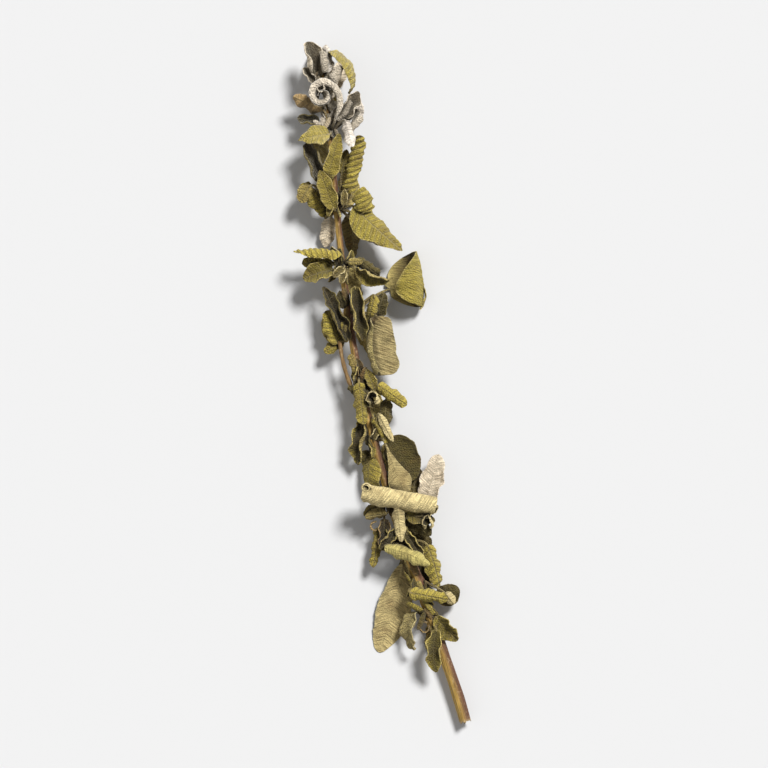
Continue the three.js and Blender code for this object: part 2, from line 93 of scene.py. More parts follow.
def add_node(
    tree: bpy.types.NodeTree, kind: str, inputs: dict | tuple = (), **settings: str | int
) -> bpy.types.Node:
    """Adds a node, with its settings and what goes into it.

    Args:
        tree: the material's node tree.
        kind: Blender's name for the node type.
        inputs: a constant, or the node or socket to link, by socket name or else in their order.
        settings: the node's own properties.

    Returns:
        The new node.
    """
    node = tree.nodes.new(kind)
    for name, value in settings.items():
        setattr(node, name, value)
    for name, value in (inputs if isinstance(inputs, dict) else dict(enumerate(inputs))).items():
        if isinstance(name, int):
            socket = node.inputs[name]
        else:
            socket = next(entry for entry in node.inputs if entry.name == name and entry.enabled)
        if isinstance(value, bpy.types.Node):
            value = next(output for output in value.outputs if output.enabled)
        if isinstance(value, bpy.types.NodeSocket):
            tree.links.new(value, socket)
        else:
            socket.default_value = value
    return node


def new_tree(name: str) -> tuple[bpy.types.Material, bpy.types.NodeTree]:
    """Makes a material with an empty node tree.

    Args:
        name: the material's name.

    Returns:
        The material and its node tree.
    """
    made = bpy.data.materials.new(name)
    made.use_nodes = True
    made.node_tree.nodes.clear()
    return made, made.node_tree


def add_object(name: str, data: bpy.types.ID) -> bpy.types.Object:
    """Makes an object and links it to the scene.

    Args:
        name: the object's name.
        data: its mesh, light or camera.

    Returns:
        The object.
    """
    made = bpy.data.objects.new(name, data)
    bpy.context.collection.objects.link(made)
    return made


class Tone(Enum):
    """How a leaf has dried: the colours of its upper side, its under side and its margin."""

    OLIVE = ("#a6943f", "#baa768", "#cdb974")
    BRIGHT = ("#bca94a", "#c6b26e", "#dfcb82")
    DARK = ("#5b5024", "#7f6f40", "#82753e")
    BROWN = ("#7d6238", "#aa8c5c", "#c0a472")
    PALE = ("#a6924f", "#d2bf89", "#e2d1a2")
    FELTED = ("#b3a268", "#ad9b6a", "#c6b98a")
    GREEN = ("#9c9441", "#baac67", "#cfc388")
    GREY = ("#c6b393", "#dfcfb4", "#eee2d0")
    WOOLLY = ("#e4d6c0", "#f2e7d8", "#f8f1e6")

    @property
    def upper(self) -> tuple:
        """The pebbled upper side."""
        return linear_colour(self.value[0])

    @property
    def under(self) -> tuple:
        """The felted under side."""
        return linear_colour(self.value[1])

    @property
    def margin(self) -> tuple:
        """The scalloped margin."""
        return linear_colour(self.value[2])


@dataclass(frozen=True)
class LeafCues:
    """What the leaf finish reads from a leaf, and the lines that it draws from that.

    Side is 1 on the upper side and 0 on the under side, relief is 0.5 for ribs of common depth, and
    paleness is how much paler than common the veins are. Place is in object coordinates, net is the
    distance from the grooves between the pebbles, veins is 1 on a vein, and hatch swings round a half.
    """

    tint: Source
    side: Source
    relief: Source
    paleness: Source
    place: Source
    net: Source
    veins: Source
    hatch: Source


@dataclass(frozen=True)
class LeafFinish:
    """Dried sage leaf, a crumpled blade with a pebbled upper side and a short dense felt of hairs.

    It gives the eye a dull soft surface without any gloss: pale veins, a net of fine grooves with painted
    shade in them, brown patches where it dried first, painted shade in its hollows and between leaves, and
    a light bloom where the felt is seen from the side.
    """

    name: str
    roughness: float = 0.88
    specular: float = 0.25
    net_mm: float = 0.9
    groove_width: float = 0.16
    groove_share: float = 0.35
    crease_shade_sides: Pair = (0.22, 0.8)
    pebble_width: float = 0.35
    pebble_height: float = 0.8
    pebble_below: float = -0.45
    rib_mm: float = 2.3
    rib_slant: float = 0.45
    rib_waver_mm: float = 0.4
    waver_mm: float = 100 / 33
    rib_sharpness: float = 12.0
    rib_sunk: float = -0.9
    rib_raised: float = 1.2
    midrib_mm: Pair = (0.1, 0.4)
    midrib_level: float = 1.6
    hatch_mm: float = 0.55
    hatch_across: float = 0.13
    hatch_range: Pair = (0.35, 0.65)
    hatch_shades: Pair = (0.66, 1.24)
    hatch_height: float = 1.1
    patch_mm: float = 6.0
    patch_range: Pair = (0.5, 0.72)
    patch_share: float = 0.5
    grain_mm: float = 5 / 7
    grain_range: Pair = (0.3, 0.7)
    grain_shades: Pair = (0.82, 1.2)
    felt_mm: float = 0.35
    felt_height: float = 0.35
    felt_sheen: float = 0.15
    sheen_roughness: float = 0.6
    vein_paleness: float = 0.1
    painted_shade_mm: float = 5.0
    painted_shade_range: Pair = (0.3, 0.95)
    relief_mm: float = 0.5
    relief_strength: float = 0.9
    dried_colour: str = "#6a5230"
    painted_crease_colour: str = "#4f4020"
    vein_colour: str = "#d6c68c"
    painted_shade_colour: str = "#1c160a"
    bloom_colour: str = "#efe6cf"

    def material(self) -> bpy.types.Material:
        """Makes the material.

        Returns:
            A material that reads the leaf's own map in millimetres, its tint and its marks.
        """
        made, tree = new_tree(self.name)
        tint = add_node(tree, "ShaderNodeAttribute", attribute_name="tint")
        marks = add_node(tree, "ShaderNodeAttribute", attribute_name="marks")
        mark = add_node(tree, "ShaderNodeSeparateColor", {"Color": marks.outputs["Color"]}).outputs
        place = add_node(tree, "ShaderNodeTexCoord").outputs["Object"]
        blade = add_node(tree, "ShaderNodeUVMap", uv_map="blade")
        split = add_node(tree, "ShaderNodeSeparateXYZ", (blade,))
        net = add_node(
            tree,
            "ShaderNodeTexVoronoi",
            {"Vector": blade.outputs["UV"], "Scale": 1 / self.net_mm},
            voronoi_dimensions="2D",
            feature="DISTANCE_TO_EDGE",
        )
        beside = add_node(tree, "ShaderNodeMath", (split.outputs["Y"],), operation="ABSOLUTE")
        back = add_node(
            tree,
            "ShaderNodeMath",
            (beside, -self.rib_slant, split.outputs["X"]),
            operation="MULTIPLY_ADD",
        )
        veins = self.vein_lines(tree, beside, back, place)
        hatch = self.hatching(tree, split.outputs["Y"], back)
        tint_colour = tint.outputs["Color"]
        cues = LeafCues(tint_colour, mark["Red"], mark["Green"], mark["Blue"], place, net, veins, hatch)
        heights = {
            "Strength": self.relief_strength,
            "Distance": self.relief_mm * METRES,
            "Height": self.height(tree, cues),
        }
        shader = add_node(
            tree,
            "ShaderNodeBsdfPrincipled",
            {
                "Base Color": self.colour(tree, cues),
                "Roughness": self.roughness,
                "Specular IOR Level": self.specular,
                "Sheen Weight": self.felt_sheen,
                "Sheen Roughness": self.sheen_roughness,
                "Sheen Tint": linear_colour(self.bloom_colour),
                "Normal": add_node(tree, "ShaderNodeBump", heights),
            },
        )
        add_node(tree, "ShaderNodeOutputMaterial", {"Surface": shader})
        return made

    def hatching(self, tree: bpy.types.NodeTree, across: Source, back: Source) -> bpy.types.Node:
        """Draws the fine wavy lines of the felt, which lie along the side veins.

        Args:
            tree: the material's node tree.
            across: millimetres across the leaf.
            back: millimetres along the leaf, drawn back along the slant of its side veins.

        Returns:
            A node that swings round a half.
        """
        ahead = add_node(tree, "ShaderNodeMath", (back, 1 / self.hatch_mm), operation="MULTIPLY")
        apart = add_node(
            tree, "ShaderNodeMath", (across, self.hatch_across / self.hatch_mm), operation="MULTIPLY"
        )
        spot = add_node(tree, "ShaderNodeCombineXYZ", (ahead, apart))
        return add_node(tree, "ShaderNodeTexNoise", {"Vector": spot, "Scale": 1.0, "Detail": 1.0})

    def vein_lines(
        self, tree: bpy.types.NodeTree, beside: Source, back: Source, place: Source
    ) -> bpy.types.Node:
        """Draws the midrib and the side veins that leave it at a slant.

        Args:
            tree: the material's node tree.
            beside: millimetres from the leaf's midrib.
            back: millimetres along the leaf, drawn back along the slant of its side veins.
            place: object coordinates, for the waver of the veins.

        Returns:
            A node that is 1 on a vein and 0 beside it.
        """
        waver = add_node(
            tree,
            "ShaderNodeTexNoise",
            {"Vector": place, "Scale": 1 / (self.waver_mm * METRES), "Detail": 2.0},
        )
        moved = add_node(
            tree,
            "ShaderNodeMath",
            (waver.outputs[0], self.rib_waver_mm, back),
            operation="MULTIPLY_ADD",
        )
        turned = add_node(tree, "ShaderNodeMath", (moved, math.pi / self.rib_mm), operation="MULTIPLY")
        swing = add_node(tree, "ShaderNodeMath", (turned,), operation="COSINE")
        ridge = add_node(tree, "ShaderNodeMath", (swing,), operation="ABSOLUTE")
        rib = add_node(tree, "ShaderNodeMath", (ridge, self.rib_sharpness), operation="POWER")
        midrib = add_node(tree, "ShaderNodeMapRange", (beside, *self.midrib_mm, self.midrib_level, 0.0))
        return add_node(tree, "ShaderNodeMath", (rib, midrib), operation="MAXIMUM")

    def colour(self, tree: bpy.types.NodeTree, cues: LeafCues) -> bpy.types.Node:
        """Lays brown patches and pale veins over the leaf's tint, with painted shade in its grooves and
        veins and in its hollows.

        Args:
            tree: the material's node tree.
            cues: what the finish reads from the leaf.

        Returns:
            The node that gives the colour.
        """
        cloud = add_node(
            tree,
            "ShaderNodeTexNoise",
            {"Vector": cues.place, "Scale": 1 / (self.patch_mm * METRES), "Detail": 5.0},
        )
        patch = add_node(
            tree, "ShaderNodeMapRange", (cloud.outputs[0], *self.patch_range, 0.0, self.patch_share)
        )
        browned = add_node(
            tree,
            "ShaderNodeMix",
            {"Factor": patch, "A": cues.tint, "B": linear_colour(self.dried_colour)},
            data_type="RGBA",
        )
        grain = add_node(
            tree,
            "ShaderNodeTexNoise",
            {"Vector": cues.place, "Scale": 1 / (self.grain_mm * METRES), "Detail": 3.0},
        )
        speck = add_node(
            tree, "ShaderNodeMapRange", (grain.outputs[0], *self.grain_range, *self.grain_shades)
        )
        lined = add_node(
            tree, "ShaderNodeMapRange", (cues.hatch.outputs[0], *self.hatch_range, *self.hatch_shades)
        )
        flecks = add_node(tree, "ShaderNodeMath", (speck, lined), operation="MULTIPLY")
        flecked = add_node(
            tree,
            "ShaderNodeMix",
            {"Factor": 1.0, "A": browned, "B": flecks},
            data_type="RGBA",
            blend_type="MULTIPLY",
        )
        # Painted shade: the grooves of the net and the veins are darkened, more where the leaf's ribs are
        # deeper, and more on the upper side than on the under side.
        groove = add_node(tree, "ShaderNodeMapRange", (cues.net, 0.0, self.groove_width, 1.0, 0.0))
        crease = add_node(
            tree, "ShaderNodeMath", (groove, self.groove_share, cues.veins), operation="MULTIPLY_ADD"
        )
        above = add_node(tree, "ShaderNodeMapRange", (cues.side, 0.0, 1.0, *self.crease_shade_sides))
        painted_crease_share = add_node(tree, "ShaderNodeMath", (crease, cues.relief), operation="MULTIPLY")
        painted_crease_share = add_node(tree, "ShaderNodeMath", (painted_crease_share, above), operation="MULTIPLY")
        with_crease_shade = add_node(
            tree,
            "ShaderNodeMix",
            {"Factor": painted_crease_share, "A": flecked, "B": linear_colour(self.painted_crease_colour)},
            data_type="RGBA",
        )
        paler = add_node(tree, "ShaderNodeMath", (cues.paleness, self.vein_paleness), operation="ADD")
        drawn = add_node(
            tree, "ShaderNodeMath", (cues.relief, 2.0, cues.paleness), operation="MULTIPLY_ADD"
        )
        drawn = add_node(tree, "ShaderNodeMath", (drawn, 1.0), operation="MINIMUM")
        share = add_node(tree, "ShaderNodeMath", (paler, drawn), operation="MULTIPLY")
        pale = add_node(tree, "ShaderNodeMath", (cues.veins, share), operation="MULTIPLY")
        veined = add_node(
            tree,
            "ShaderNodeMix",
            {"Factor": pale, "A": with_crease_shade, "B": linear_colour(self.vein_colour)},
            data_type="RGBA",
        )
        # Painted shade: the colour runs to near black where ambient occlusion finds other surfaces within a
        # few millimetres, in the hollows of curled leaves and between leaves.
        reach = {"Distance": self.painted_shade_mm * METRES}
        occlusion = add_node(tree, "ShaderNodeAmbientOcclusion", reach, samples=8)
        dull = add_node(
            tree, "ShaderNodeMapRange", (occlusion.outputs["AO"], *self.painted_shade_range, 1.0, 0.0)
        )
        return add_node(
            tree,
            "ShaderNodeMix",
            {"Factor": dull, "A": veined, "B": linear_colour(self.painted_shade_colour)},
            data_type="RGBA",
        )

    def height(self, tree: bpy.types.NodeTree, cues: LeafCues) -> bpy.types.Node:
        """Adds up the fine relief: pebbles above, raised veins below, and felt on both sides.

        Args:
            tree: the material's node tree.
            cues: what the finish reads from the leaf.

        Returns:
            The node that gives the height for the bump.
        """
        pebble = add_node(
            tree, "ShaderNodeMapRange", (cues.net, 0.0, self.pebble_width, 0.0, self.pebble_height)
        )
        ribs = add_node(tree, "ShaderNodeMath", (cues.veins, cues.relief), operation="MULTIPLY")
        sunk = add_node(tree, "ShaderNodeMath", (ribs, self.rib_sunk, pebble), operation="MULTIPLY_ADD")
        below = add_node(tree, "ShaderNodeMath", (pebble, self.pebble_below), operation="MULTIPLY")
        raised = add_node(
            tree, "ShaderNodeMath", (ribs, self.rib_raised, below), operation="MULTIPLY_ADD"
        )
        sides = {"Factor": cues.side, "A": raised, "B": sunk}
        both = add_node(tree, "ShaderNodeMix", sides, data_type="FLOAT")
        felt = add_node(
            tree,
            "ShaderNodeTexNoise",
            {"Vector": cues.place, "Scale": 1 / (self.felt_mm * METRES), "Detail": 3.0},
        )
        lines = add_node(
            tree,
            "ShaderNodeMath",
            (cues.hatch.outputs[0], self.hatch_height, both),
            operation="MULTIPLY_ADD",
        )
        return add_node(
            tree, "ShaderNodeMath", (felt.outputs[0], self.felt_height, lines), operation="MULTIPLY_ADD"
        )


@dataclass(frozen=True)
class BarkFinish:
    """Dried woody stem of sage, four-sided, with thin bark that has shrunk into lengthwise grooves.

    It gives the eye a dull ochre to purple-brown rod with darker streaks, a pale bloom of dust and
    fine lengthwise fibres.
    """

    name: str
    roughness: float = 0.72
    specular: float = 0.35
    streak_mm: float = 7.0
    fibre_mm: float = 0.45
    streak_range: Pair = (0.35, 0.62)
    streak_share: float = 0.75
    dust_mm: float = 10 / 9
    dust_range: Pair = (0.55, 0.75)
    dust_share: float = 0.5
    relief_mm: float = 0.3
    relief_strength: float = 0.8
    streak_colour: str = "#4d3823"
    dust_colour: str = "#c3ad83"

    def material(self) -> bpy.types.Material:
        """Makes the material.

        Returns:
            A material that reads the stem's own map in millimetres and its tint.
        """
        made, tree = new_tree(self.name)
        tint = add_node(tree, "ShaderNodeAttribute", attribute_name="tint")
        around = add_node(tree, "ShaderNodeUVMap", uv_map="blade")
        stretch = {"Vector": around, "Scale": (1 / self.streak_mm, 1 / self.fibre_mm, 1.0)}
        stretched = add_node(tree, "ShaderNodeMapping", stretch)
        fibre = add_node(tree, "ShaderNodeTexNoise", {"Vector": stretched, "Scale": 1.0, "Detail": 4.0})
        dark = add_node(
            tree, "ShaderNodeMapRange", (fibre.outputs[0], *self.streak_range, self.streak_share, 0.0)
        )
        streaked = add_node(
            tree,
            "ShaderNodeMix",
            {"Factor": dark, "A": tint.outputs["Color"], "B": linear_colour(self.streak_colour)},
            data_type="RGBA",
        )
        place = add_node(tree, "ShaderNodeTexCoord").outputs["Object"]
        dust = add_node(
            tree,
            "ShaderNodeTexNoise",
            {"Vector": place, "Scale": 1 / (self.dust_mm * METRES), "Detail": 4.0},
        )
        bloom = add_node(
            tree, "ShaderNodeMapRange", (dust.outputs[0], *self.dust_range, 0.0, self.dust_share)
        )
        colour = add_node(
            tree,
            "ShaderNodeMix",
            {"Factor": bloom, "A": streaked, "B": linear_colour(self.dust_colour)},
            data_type="RGBA",
        )
        heights = {
            "Strength": self.relief_strength,
            "Distance": self.relief_mm * METRES,
            "Height": fibre.outputs[0],
        }
        shader = add_node(
            tree,
            "ShaderNodeBsdfPrincipled",
            {
                "Base Color": colour,
                "Roughness": self.roughness,
                "Specular IOR Level": self.specular,
                "Normal": add_node(tree, "ShaderNodeBump", heights),
            },
        )
        add_node(tree, "ShaderNodeOutputMaterial", {"Surface": shader})
        return made


# Stem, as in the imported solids
STEM_LENGTH = 275.0
STEM_BOW = 12.3
CUT_END = Vector((3.0, -141.3, 4.5))
TIP_RISE = 6.0
CUT_RADIUS = 2.2
TIP_RADIUS = 0.8
RIDGE_HEIGHT = 0.9

# Leaves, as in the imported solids
ROOT_HALF = 0.6
TIP_HALF = 0.3
WAVE_HEIGHT = 0.05
WAVE_LIMIT = 0.5
WAVES = 2.5
END_ROWS = 0.12
STALK_SINK = 1.2
PRESS_FROM = 1.5
PRESS_TO = 0.25
TWIST = 30.0
TWIST_FROM = 0.3
SWAY_GAIN = 4.0

# What the finishes read where there is no leaf, and the colour of stalks
PLAIN_MARKS = (1.0, 0.5, 0.0)
STALK_COLOUR = "#8a7346"


def stem_point(at: float) -> Vector:
    """The stem's centreline at a distance along it from the cut end."""
    share = clamped(at / STEM_LENGTH, 0.0, 1.0)
    bow = STEM_BOW * math.sin(math.pi * share) ** 1.4
    return CUT_END + Vector((-bow, at, TIP_RISE * (1 - (1 - share) ** 2)))


def stem_radius(at: float) -> float:
    """The stem's radius at a distance along it."""
    return CUT_RADIUS + (TIP_RADIUS - CUT_RADIUS) * at / STEM_LENGTH


def placed(place: Place, at: float) -> Vector:
    """A point given as along, side and up from the stem's centre at a whorl."""
    along, side, up = place
    return stem_point(at) + Vector((side, along, up))


def pressed(point: Vector) -> Vector:
    """Bends up what would hang below the surface, so that it lies just over it.

    Args:
        point: a point of a leaf or stalk, which is changed in place.

    Returns:
        The same point.
    """
    room = PRESS_FROM - PRESS_TO
    if point.z < PRESS_FROM:
        point.z = PRESS_TO + room * math.exp((point.z - PRESS_FROM) / room)
    return point


@dataclass(frozen=True)
class Leaf:
    """One leaf, placed from the stem at its whorl.

    Root is along, side and up, and way is its aim, rise and face in degrees. Size is its length and
    width, curl is how far its left and right margins turn towards the upper side, and bend is that of
    its midrib. Hook above 1 keeps most of the bend for the tip, sway bows the blade sideways by so many
    millimetres, and flare opens its curl towards the tip. Relief scales the ribs between its veins,
    aside moves the midrib that many millimetres off the middle, and veins is how pale its veins are.
    """

    root: Place
    way: Place
    size: Pair
    curl: Pair
    bend: float
    tone: Tone
    widest: float = 0.42
    roundness: float = 0.55
    stalk_to: Place | None = None
    has_stalk: bool = True
    relief: float = 1.0
    hook: float = 1.0
    sway: float = 0.0
    flare: float = 0.0
    aside: float = 0.0
    veins: float = 0.0


class Patchwork:
    """A mesh in the making, with the map, tint and marks that the finishes read."""

    def __init__(self) -> None:
        """Starts an empty mesh with its layers."""
        self.bm = bmesh.new()
        self.map = self.bm.loops.layers.uv.new("blade")
        self.tint = self.bm.loops.layers.float_color.new("tint")
        self.marks = self.bm.loops.layers.float_color.new("marks")

    def paint(self, face: bmesh.types.BMFace, spots: dict, marks: tuple) -> None:
        """Gives a face its map and colours.

        Args:
            face: the face.
            spots: by vertex, its place on the map in millimetres and its colour.
            marks: the side of the leaf, 1 for upper, half its relief, and how pale its veins are.
        """
        for loop in face.loops:
            place, colour = spots[loop.vert]
            loop[self.map].uv = place
            loop[self.tint] = colour
            loop[self.marks] = (*marks, 1.0)

    def grown_rings(self, sides: int, count: int) -> list[list]:
        """Adds a ring of unit radius and grows so many more from it, each joined to the last by faces.

        Args:
            sides: how many sides a ring has.
            count: how many rings to grow.

        Returns:
            The vertices of each ring, all still at the place of the first.
        """
        made = bmesh.ops.create_circle(self.bm, cap_ends=False, segments=sides, radius=1.0)["verts"]
        found = [made]
        edges = list({edge for vert in made for edge in vert.link_edges})
        for _ in range(count):
            grown = bmesh.ops.extrude_edge_only(self.bm, edges=edges)["geom"]
            found.append([part for part in grown if isinstance(part, bmesh.types.BMVert)])
            edges = [part for part in grown if isinstance(part, bmesh.types.BMEdge)]
        return found

    def tube(self, rings: list[tuple[Vector, float]], sides: int, colours: list[tuple]) -> None:
        """Adds a closed rod that follows a line.

        Args:
            rings: each ring's centre and radius.
            sides: how many sides the rod has.
            colours: each ring's colour.
        """
        loops = self.grown_rings(sides, len(rings) - 1)
        spots: dict = {}
        across = Vector((0.0, 0.0, 1.0))
        run = 0.0
        for step, (verts, (centre, radius)) in enumerate(zip(loops, rings)):
            ahead = rings[min(step + 1, len(rings) - 1)][0]
            behind = rings[max(step - 1, 0)][0]
            along = (ahead - behind).normalized()
            if abs(across.dot(along)) > 0.95:
                across = Vector((0.0, 1.0, 0.0))
            across = (across - along * across.dot(along)).normalized()
            beside = along.cross(across)
            run += (centre - rings[max(step - 1, 0)][0]).length
            for vert in verts:
                angle = math.atan2(vert.co.y, vert.co.x)
                vert.co = centre + (across * math.cos(angle) + beside * math.sin(angle)) * radius
                spots[vert] = ((run, angle * radius), colours[step])
        for ends in (loops[0], loops[-1]):
            rim = [edge for vert in ends for edge in vert.link_edges if edge.is_boundary]
            bmesh.ops.holes_fill(self.bm, edges=list(set(rim)), sides=0)
        faces = list({face for verts in loops for vert in verts for face in vert.link_faces})
        self.settle(faces)
        for face in faces:
            self.paint(face, spots, PLAIN_MARKS)

    def settle(self, faces: list) -> None:
        """Turns the faces of one closed shell outwards and shades them smoothly.

        Args:
            faces: all the faces of the shell.
        """
        bmesh.ops.recalc_face_normals(self.bm, faces=faces)
        for face in faces:
            face.smooth = True

    def finished(self, name: str, material: bpy.types.Material) -> bpy.types.Object:
        """Turns the mesh into an object in metres.

        Args:
            name: the object's name.
            material: its only material.

        Returns:
            The object, linked to the scene.
        """
        bmesh.ops.scale(self.bm, vec=(METRES, METRES, METRES), verts=self.bm.verts[:])
        mesh = bpy.data.meshes.new(name)
        self.bm.to_mesh(mesh)
        self.bm.free()
        mesh.materials.append(material)
        return add_object(name, mesh)


@dataclass
class Blade:
    """The blade and stalk of one leaf, with the ribs, crumples and scallops that its solid leaves out."""

    leaf: Leaf
    at: float
    seed: str
    cell: float = 0.42
    rows: Pair = (10, 72)
    columns: Pair = (4, 28)
    middle_thickness: float = 0.6
    margin_thickness: float = 0.34
    rib_mm: float = 2.3
    rib_slant: float = 0.45
    rib_depth: float = 0.26
    rib_level: float = 1.3
    full_relief_width: float = 9.0
    crumple_mm: float = 5.0
    crumple_depth: float = 0.9
    crumple_level: float = 0.5
    crumple_gain: float = 2.2
    wrinkle_mm: float = 1.7
    wrinkle_depth: float = 0.2
    uneven_mm: float = 5.0
    uneven_share: float = 0.22
    midline_steps: int = 120
    ripple_mm: float = 3.6
    ripple_depth: float = 0.14
    scallop_mm: float = 1.3
    scallop_depth: float = 0.14
    midrib_height: float = 0.32
    midrib_width: float = 0.5
    painted_inner_shade: float = 0.88
    margin_share: float = 0.5
    stalk_radii: Pair = (0.62, 0.42)
    stalk_steps: int = 12
    shift: Vector = field(init=False)

    def __post_init__(self) -> None:
        """Works out the blade's axes and its own chances."""
        aim, rise, face = (math.radians(turn) for turn in self.leaf.way)
        level = math.cos(rise)
        self.along = Vector((math.sin(aim) * level, math.cos(aim) * level, math.sin(rise)))
        upper = (Vector((0, 0, 1)) - self.along * self.along.z).normalized()
        self.upper = Matrix.Rotation(face, 3, self.along) @ upper
        self.right = self.along.cross(self.upper)
        self.bend = math.radians(self.leaf.bend) or 1e-6
        self.root = placed(self.leaf.root, self.at)
        chance = random.Random(self.seed)
        self.shift = Vector((chance.uniform(0, 90), chance.uniform(0, 90), chance.uniform(0, 90)))
        self.shade = chance.uniform(0.86, 1.12)
        self.twist = math.radians(TWIST * math.sin(7 * aim + self.leaf.size[0]))
        self.power = math.log(0.5) / math.log(self.leaf.widest)
        self.midline = self.midrib_line()

    def slope(self, share: float) -> float:
        """How far the midrib rises towards the blade's upper side at a share of its length, in radians."""
        return self.bend / 2 - self.bend * share**self.leaf.hook

    def midrib_line(self) -> list[Pair]:
        """Follows the bend of the midrib from root to tip.

        Returns:
            Its points, as millimetres along and up from the root.
        """
        step = self.leaf.size[0] / self.midline_steps
        line = [(0.0, 0.0)]
        for number in range(self.midline_steps):
            slope = self.slope((number + 0.5) / self.midline_steps)
            line.append((line[-1][0] + step * math.cos(slope), line[-1][1] + step * math.sin(slope)))
        return line

    def half_width(self, share: float) -> float:
        """Half the blade's width along its curled surface.

        Args:
            share: the share of the blade's length.

        Returns:
            Millimetres from the middle to the margin.
        """
        full = max(math.sin(math.pi * share**self.power), 0.0) ** self.leaf.roundness
        least = ROOT_HALF + (TIP_HALF - ROOT_HALF) * share
        return max(full * self.leaf.size[1] / 2, least)

    def relief(self, run: float, arc: float, share: float, across: float) -> float:
        """How far the blade's surface stands off its smooth form, towards its upper side.

        Args:
            run: millimetres from the root.
            arc: millimetres from the midrib.
            share: the share of the blade's length.
            across: -1 on the left margin and 1 on the right.

        Returns:
            The offset in millimetres.
        """
        beside = abs(arc)
        scale = clamped(self.leaf.size[1] / self.full_relief_width, 0.45, 1.0)
        pillow = abs(math.sin(math.pi * (run - self.rib_slant * beside) / self.rib_mm))
        ribs = self.rib_depth * self.leaf.relief * (2 * pillow - self.rib_level)
        ribs = ribs * smooth_share(beside, 0.0, 0.9) * (1 - 0.4 * abs(across))
        spot = Vector((run, arc, 0.0)) / self.crumple_mm + self.shift
        fold = self.crumple_level - self.crumple_gain * abs(noise.noise(spot))
        crumple = self.crumple_depth * fold * (0.3 + 0.7 * abs(across))
        crumple *= min(0.3 + 0.7 * self.leaf.relief, 1.0)
        ripple = self.ripple_depth * math.sin(2 * math.pi * run / self.ripple_mm + self.shift.x + across)
        wrinkle = self.wrinkle_depth * noise.noise(Vector((run, arc, 7.0)) / self.wrinkle_mm + self.shift)
        return scale * (ribs + crumple + wrinkle + ripple * across**4) * smooth_share(share, 0.0, 0.12)

    def point(self, share: float, across: float, side: int) -> tuple[Vector, Pair]:
        """A point of the blade's upper or under surface.

        Args:
            share: 0 at the root and 1 at the tip.
            across: -1 on the left margin and 1 on the right.
            side: 1 for the upper surface and -1 for the under one.

        Returns:
            The point, and its place on the leaf's map in millimetres.
        """
        length, width = self.leaf.size
        run = share * length
        scallop = self.scallop_depth * (0.5 + 0.5 * math.cos(2 * math.pi * run / self.scallop_mm))
        half = self.half_width(share)
        scallop *= clamped(half - 1.0, 0.0, 1.0) * across**4
        spot = Vector((run / self.uneven_mm, math.copysign(4.0, across), 0.0)) + self.shift
        uneven = self.uneven_share * min(self.leaf.relief, 1.0) * noise.noise(spot)
        arc = across * (half - scallop) * (1 + uneven * smooth_share(half, 0.8, 2.5))
        opened = 1 - self.leaf.flare * share**2
        curl = math.radians(self.leaf.curl[0 if across < 0 else 1]) * opened or 1e-6
        radius = width / 2 / curl
        turned = abs(arc) / radius
        thickness = self.middle_thickness + (self.margin_thickness - self.middle_thickness) * across**2
        beside = arc + self.leaf.aside
        midrib = self.midrib_height * math.exp(-((beside / self.midrib_width) ** 2)) * (1 - 0.7 * share)
        wave = min(WAVE_HEIGHT * width, WAVE_LIMIT) * math.sin(2 * math.pi * WAVES * share) * across**2
        stand = wave + self.relief(run, beside, share, across) + side * thickness / 2
        stand -= midrib if side < 0 else 0.35 * midrib
        slope = self.slope(share)
        place = share * self.midline_steps
        number = min(int(place), self.midline_steps - 1)
        ahead, above = blended(self.midline[number], self.midline[number + 1], place - number)
        normal = self.upper * math.cos(slope) - self.along * math.sin(slope)
        twist = self.twist * (share - TWIST_FROM)
        right = self.right * math.cos(twist) + normal * math.sin(twist)
        normal = normal * math.cos(twist) - self.right * math.sin(twist)
        lift = radius * (1 - math.cos(turned)) + stand * math.cos(turned)
        out = radius * math.sin(turned) - stand * math.sin(turned)
        point = (
            self.root
            + self.along * ahead
            + self.upper * above
            + right * (math.copysign(out, across) + SWAY_GAIN * self.leaf.sway * share * (1 - share))
            + normal * lift
        )
        return pressed(point), (run, beside)

    def tint(self, across: float, side: int, share: float) -> tuple:
        """The colour of a spot of the blade, with painted shade on the inside of its curl.

        Args:
            across: -1 on the left margin and 1 on the right.
            side: 1 for the upper side and -1 for the under one.
            share: the share of the blade's length.

        Returns:
            A linear colour.
        """
        tone = self.leaf.tone
        base = tone.upper if side > 0 else tone.under
        # Painted shade: the side that the margins curl towards is darkened, most along the midrib, where
        # the hollow of the curl is shaded.
        painted_hollow_shade = smooth_share(side * self.leaf.curl[0 if across < 0 else 1], 40, 110)
        shade = self.shade * (1 - self.painted_inner_shade * painted_hollow_shade * (1 - across**2))
        base = tuple(part * shade for part in base[:3]) + (1.0,)
        return blended(base, tone.margin, self.margin_share * smooth_share(abs(across), 0.9, 1.0))

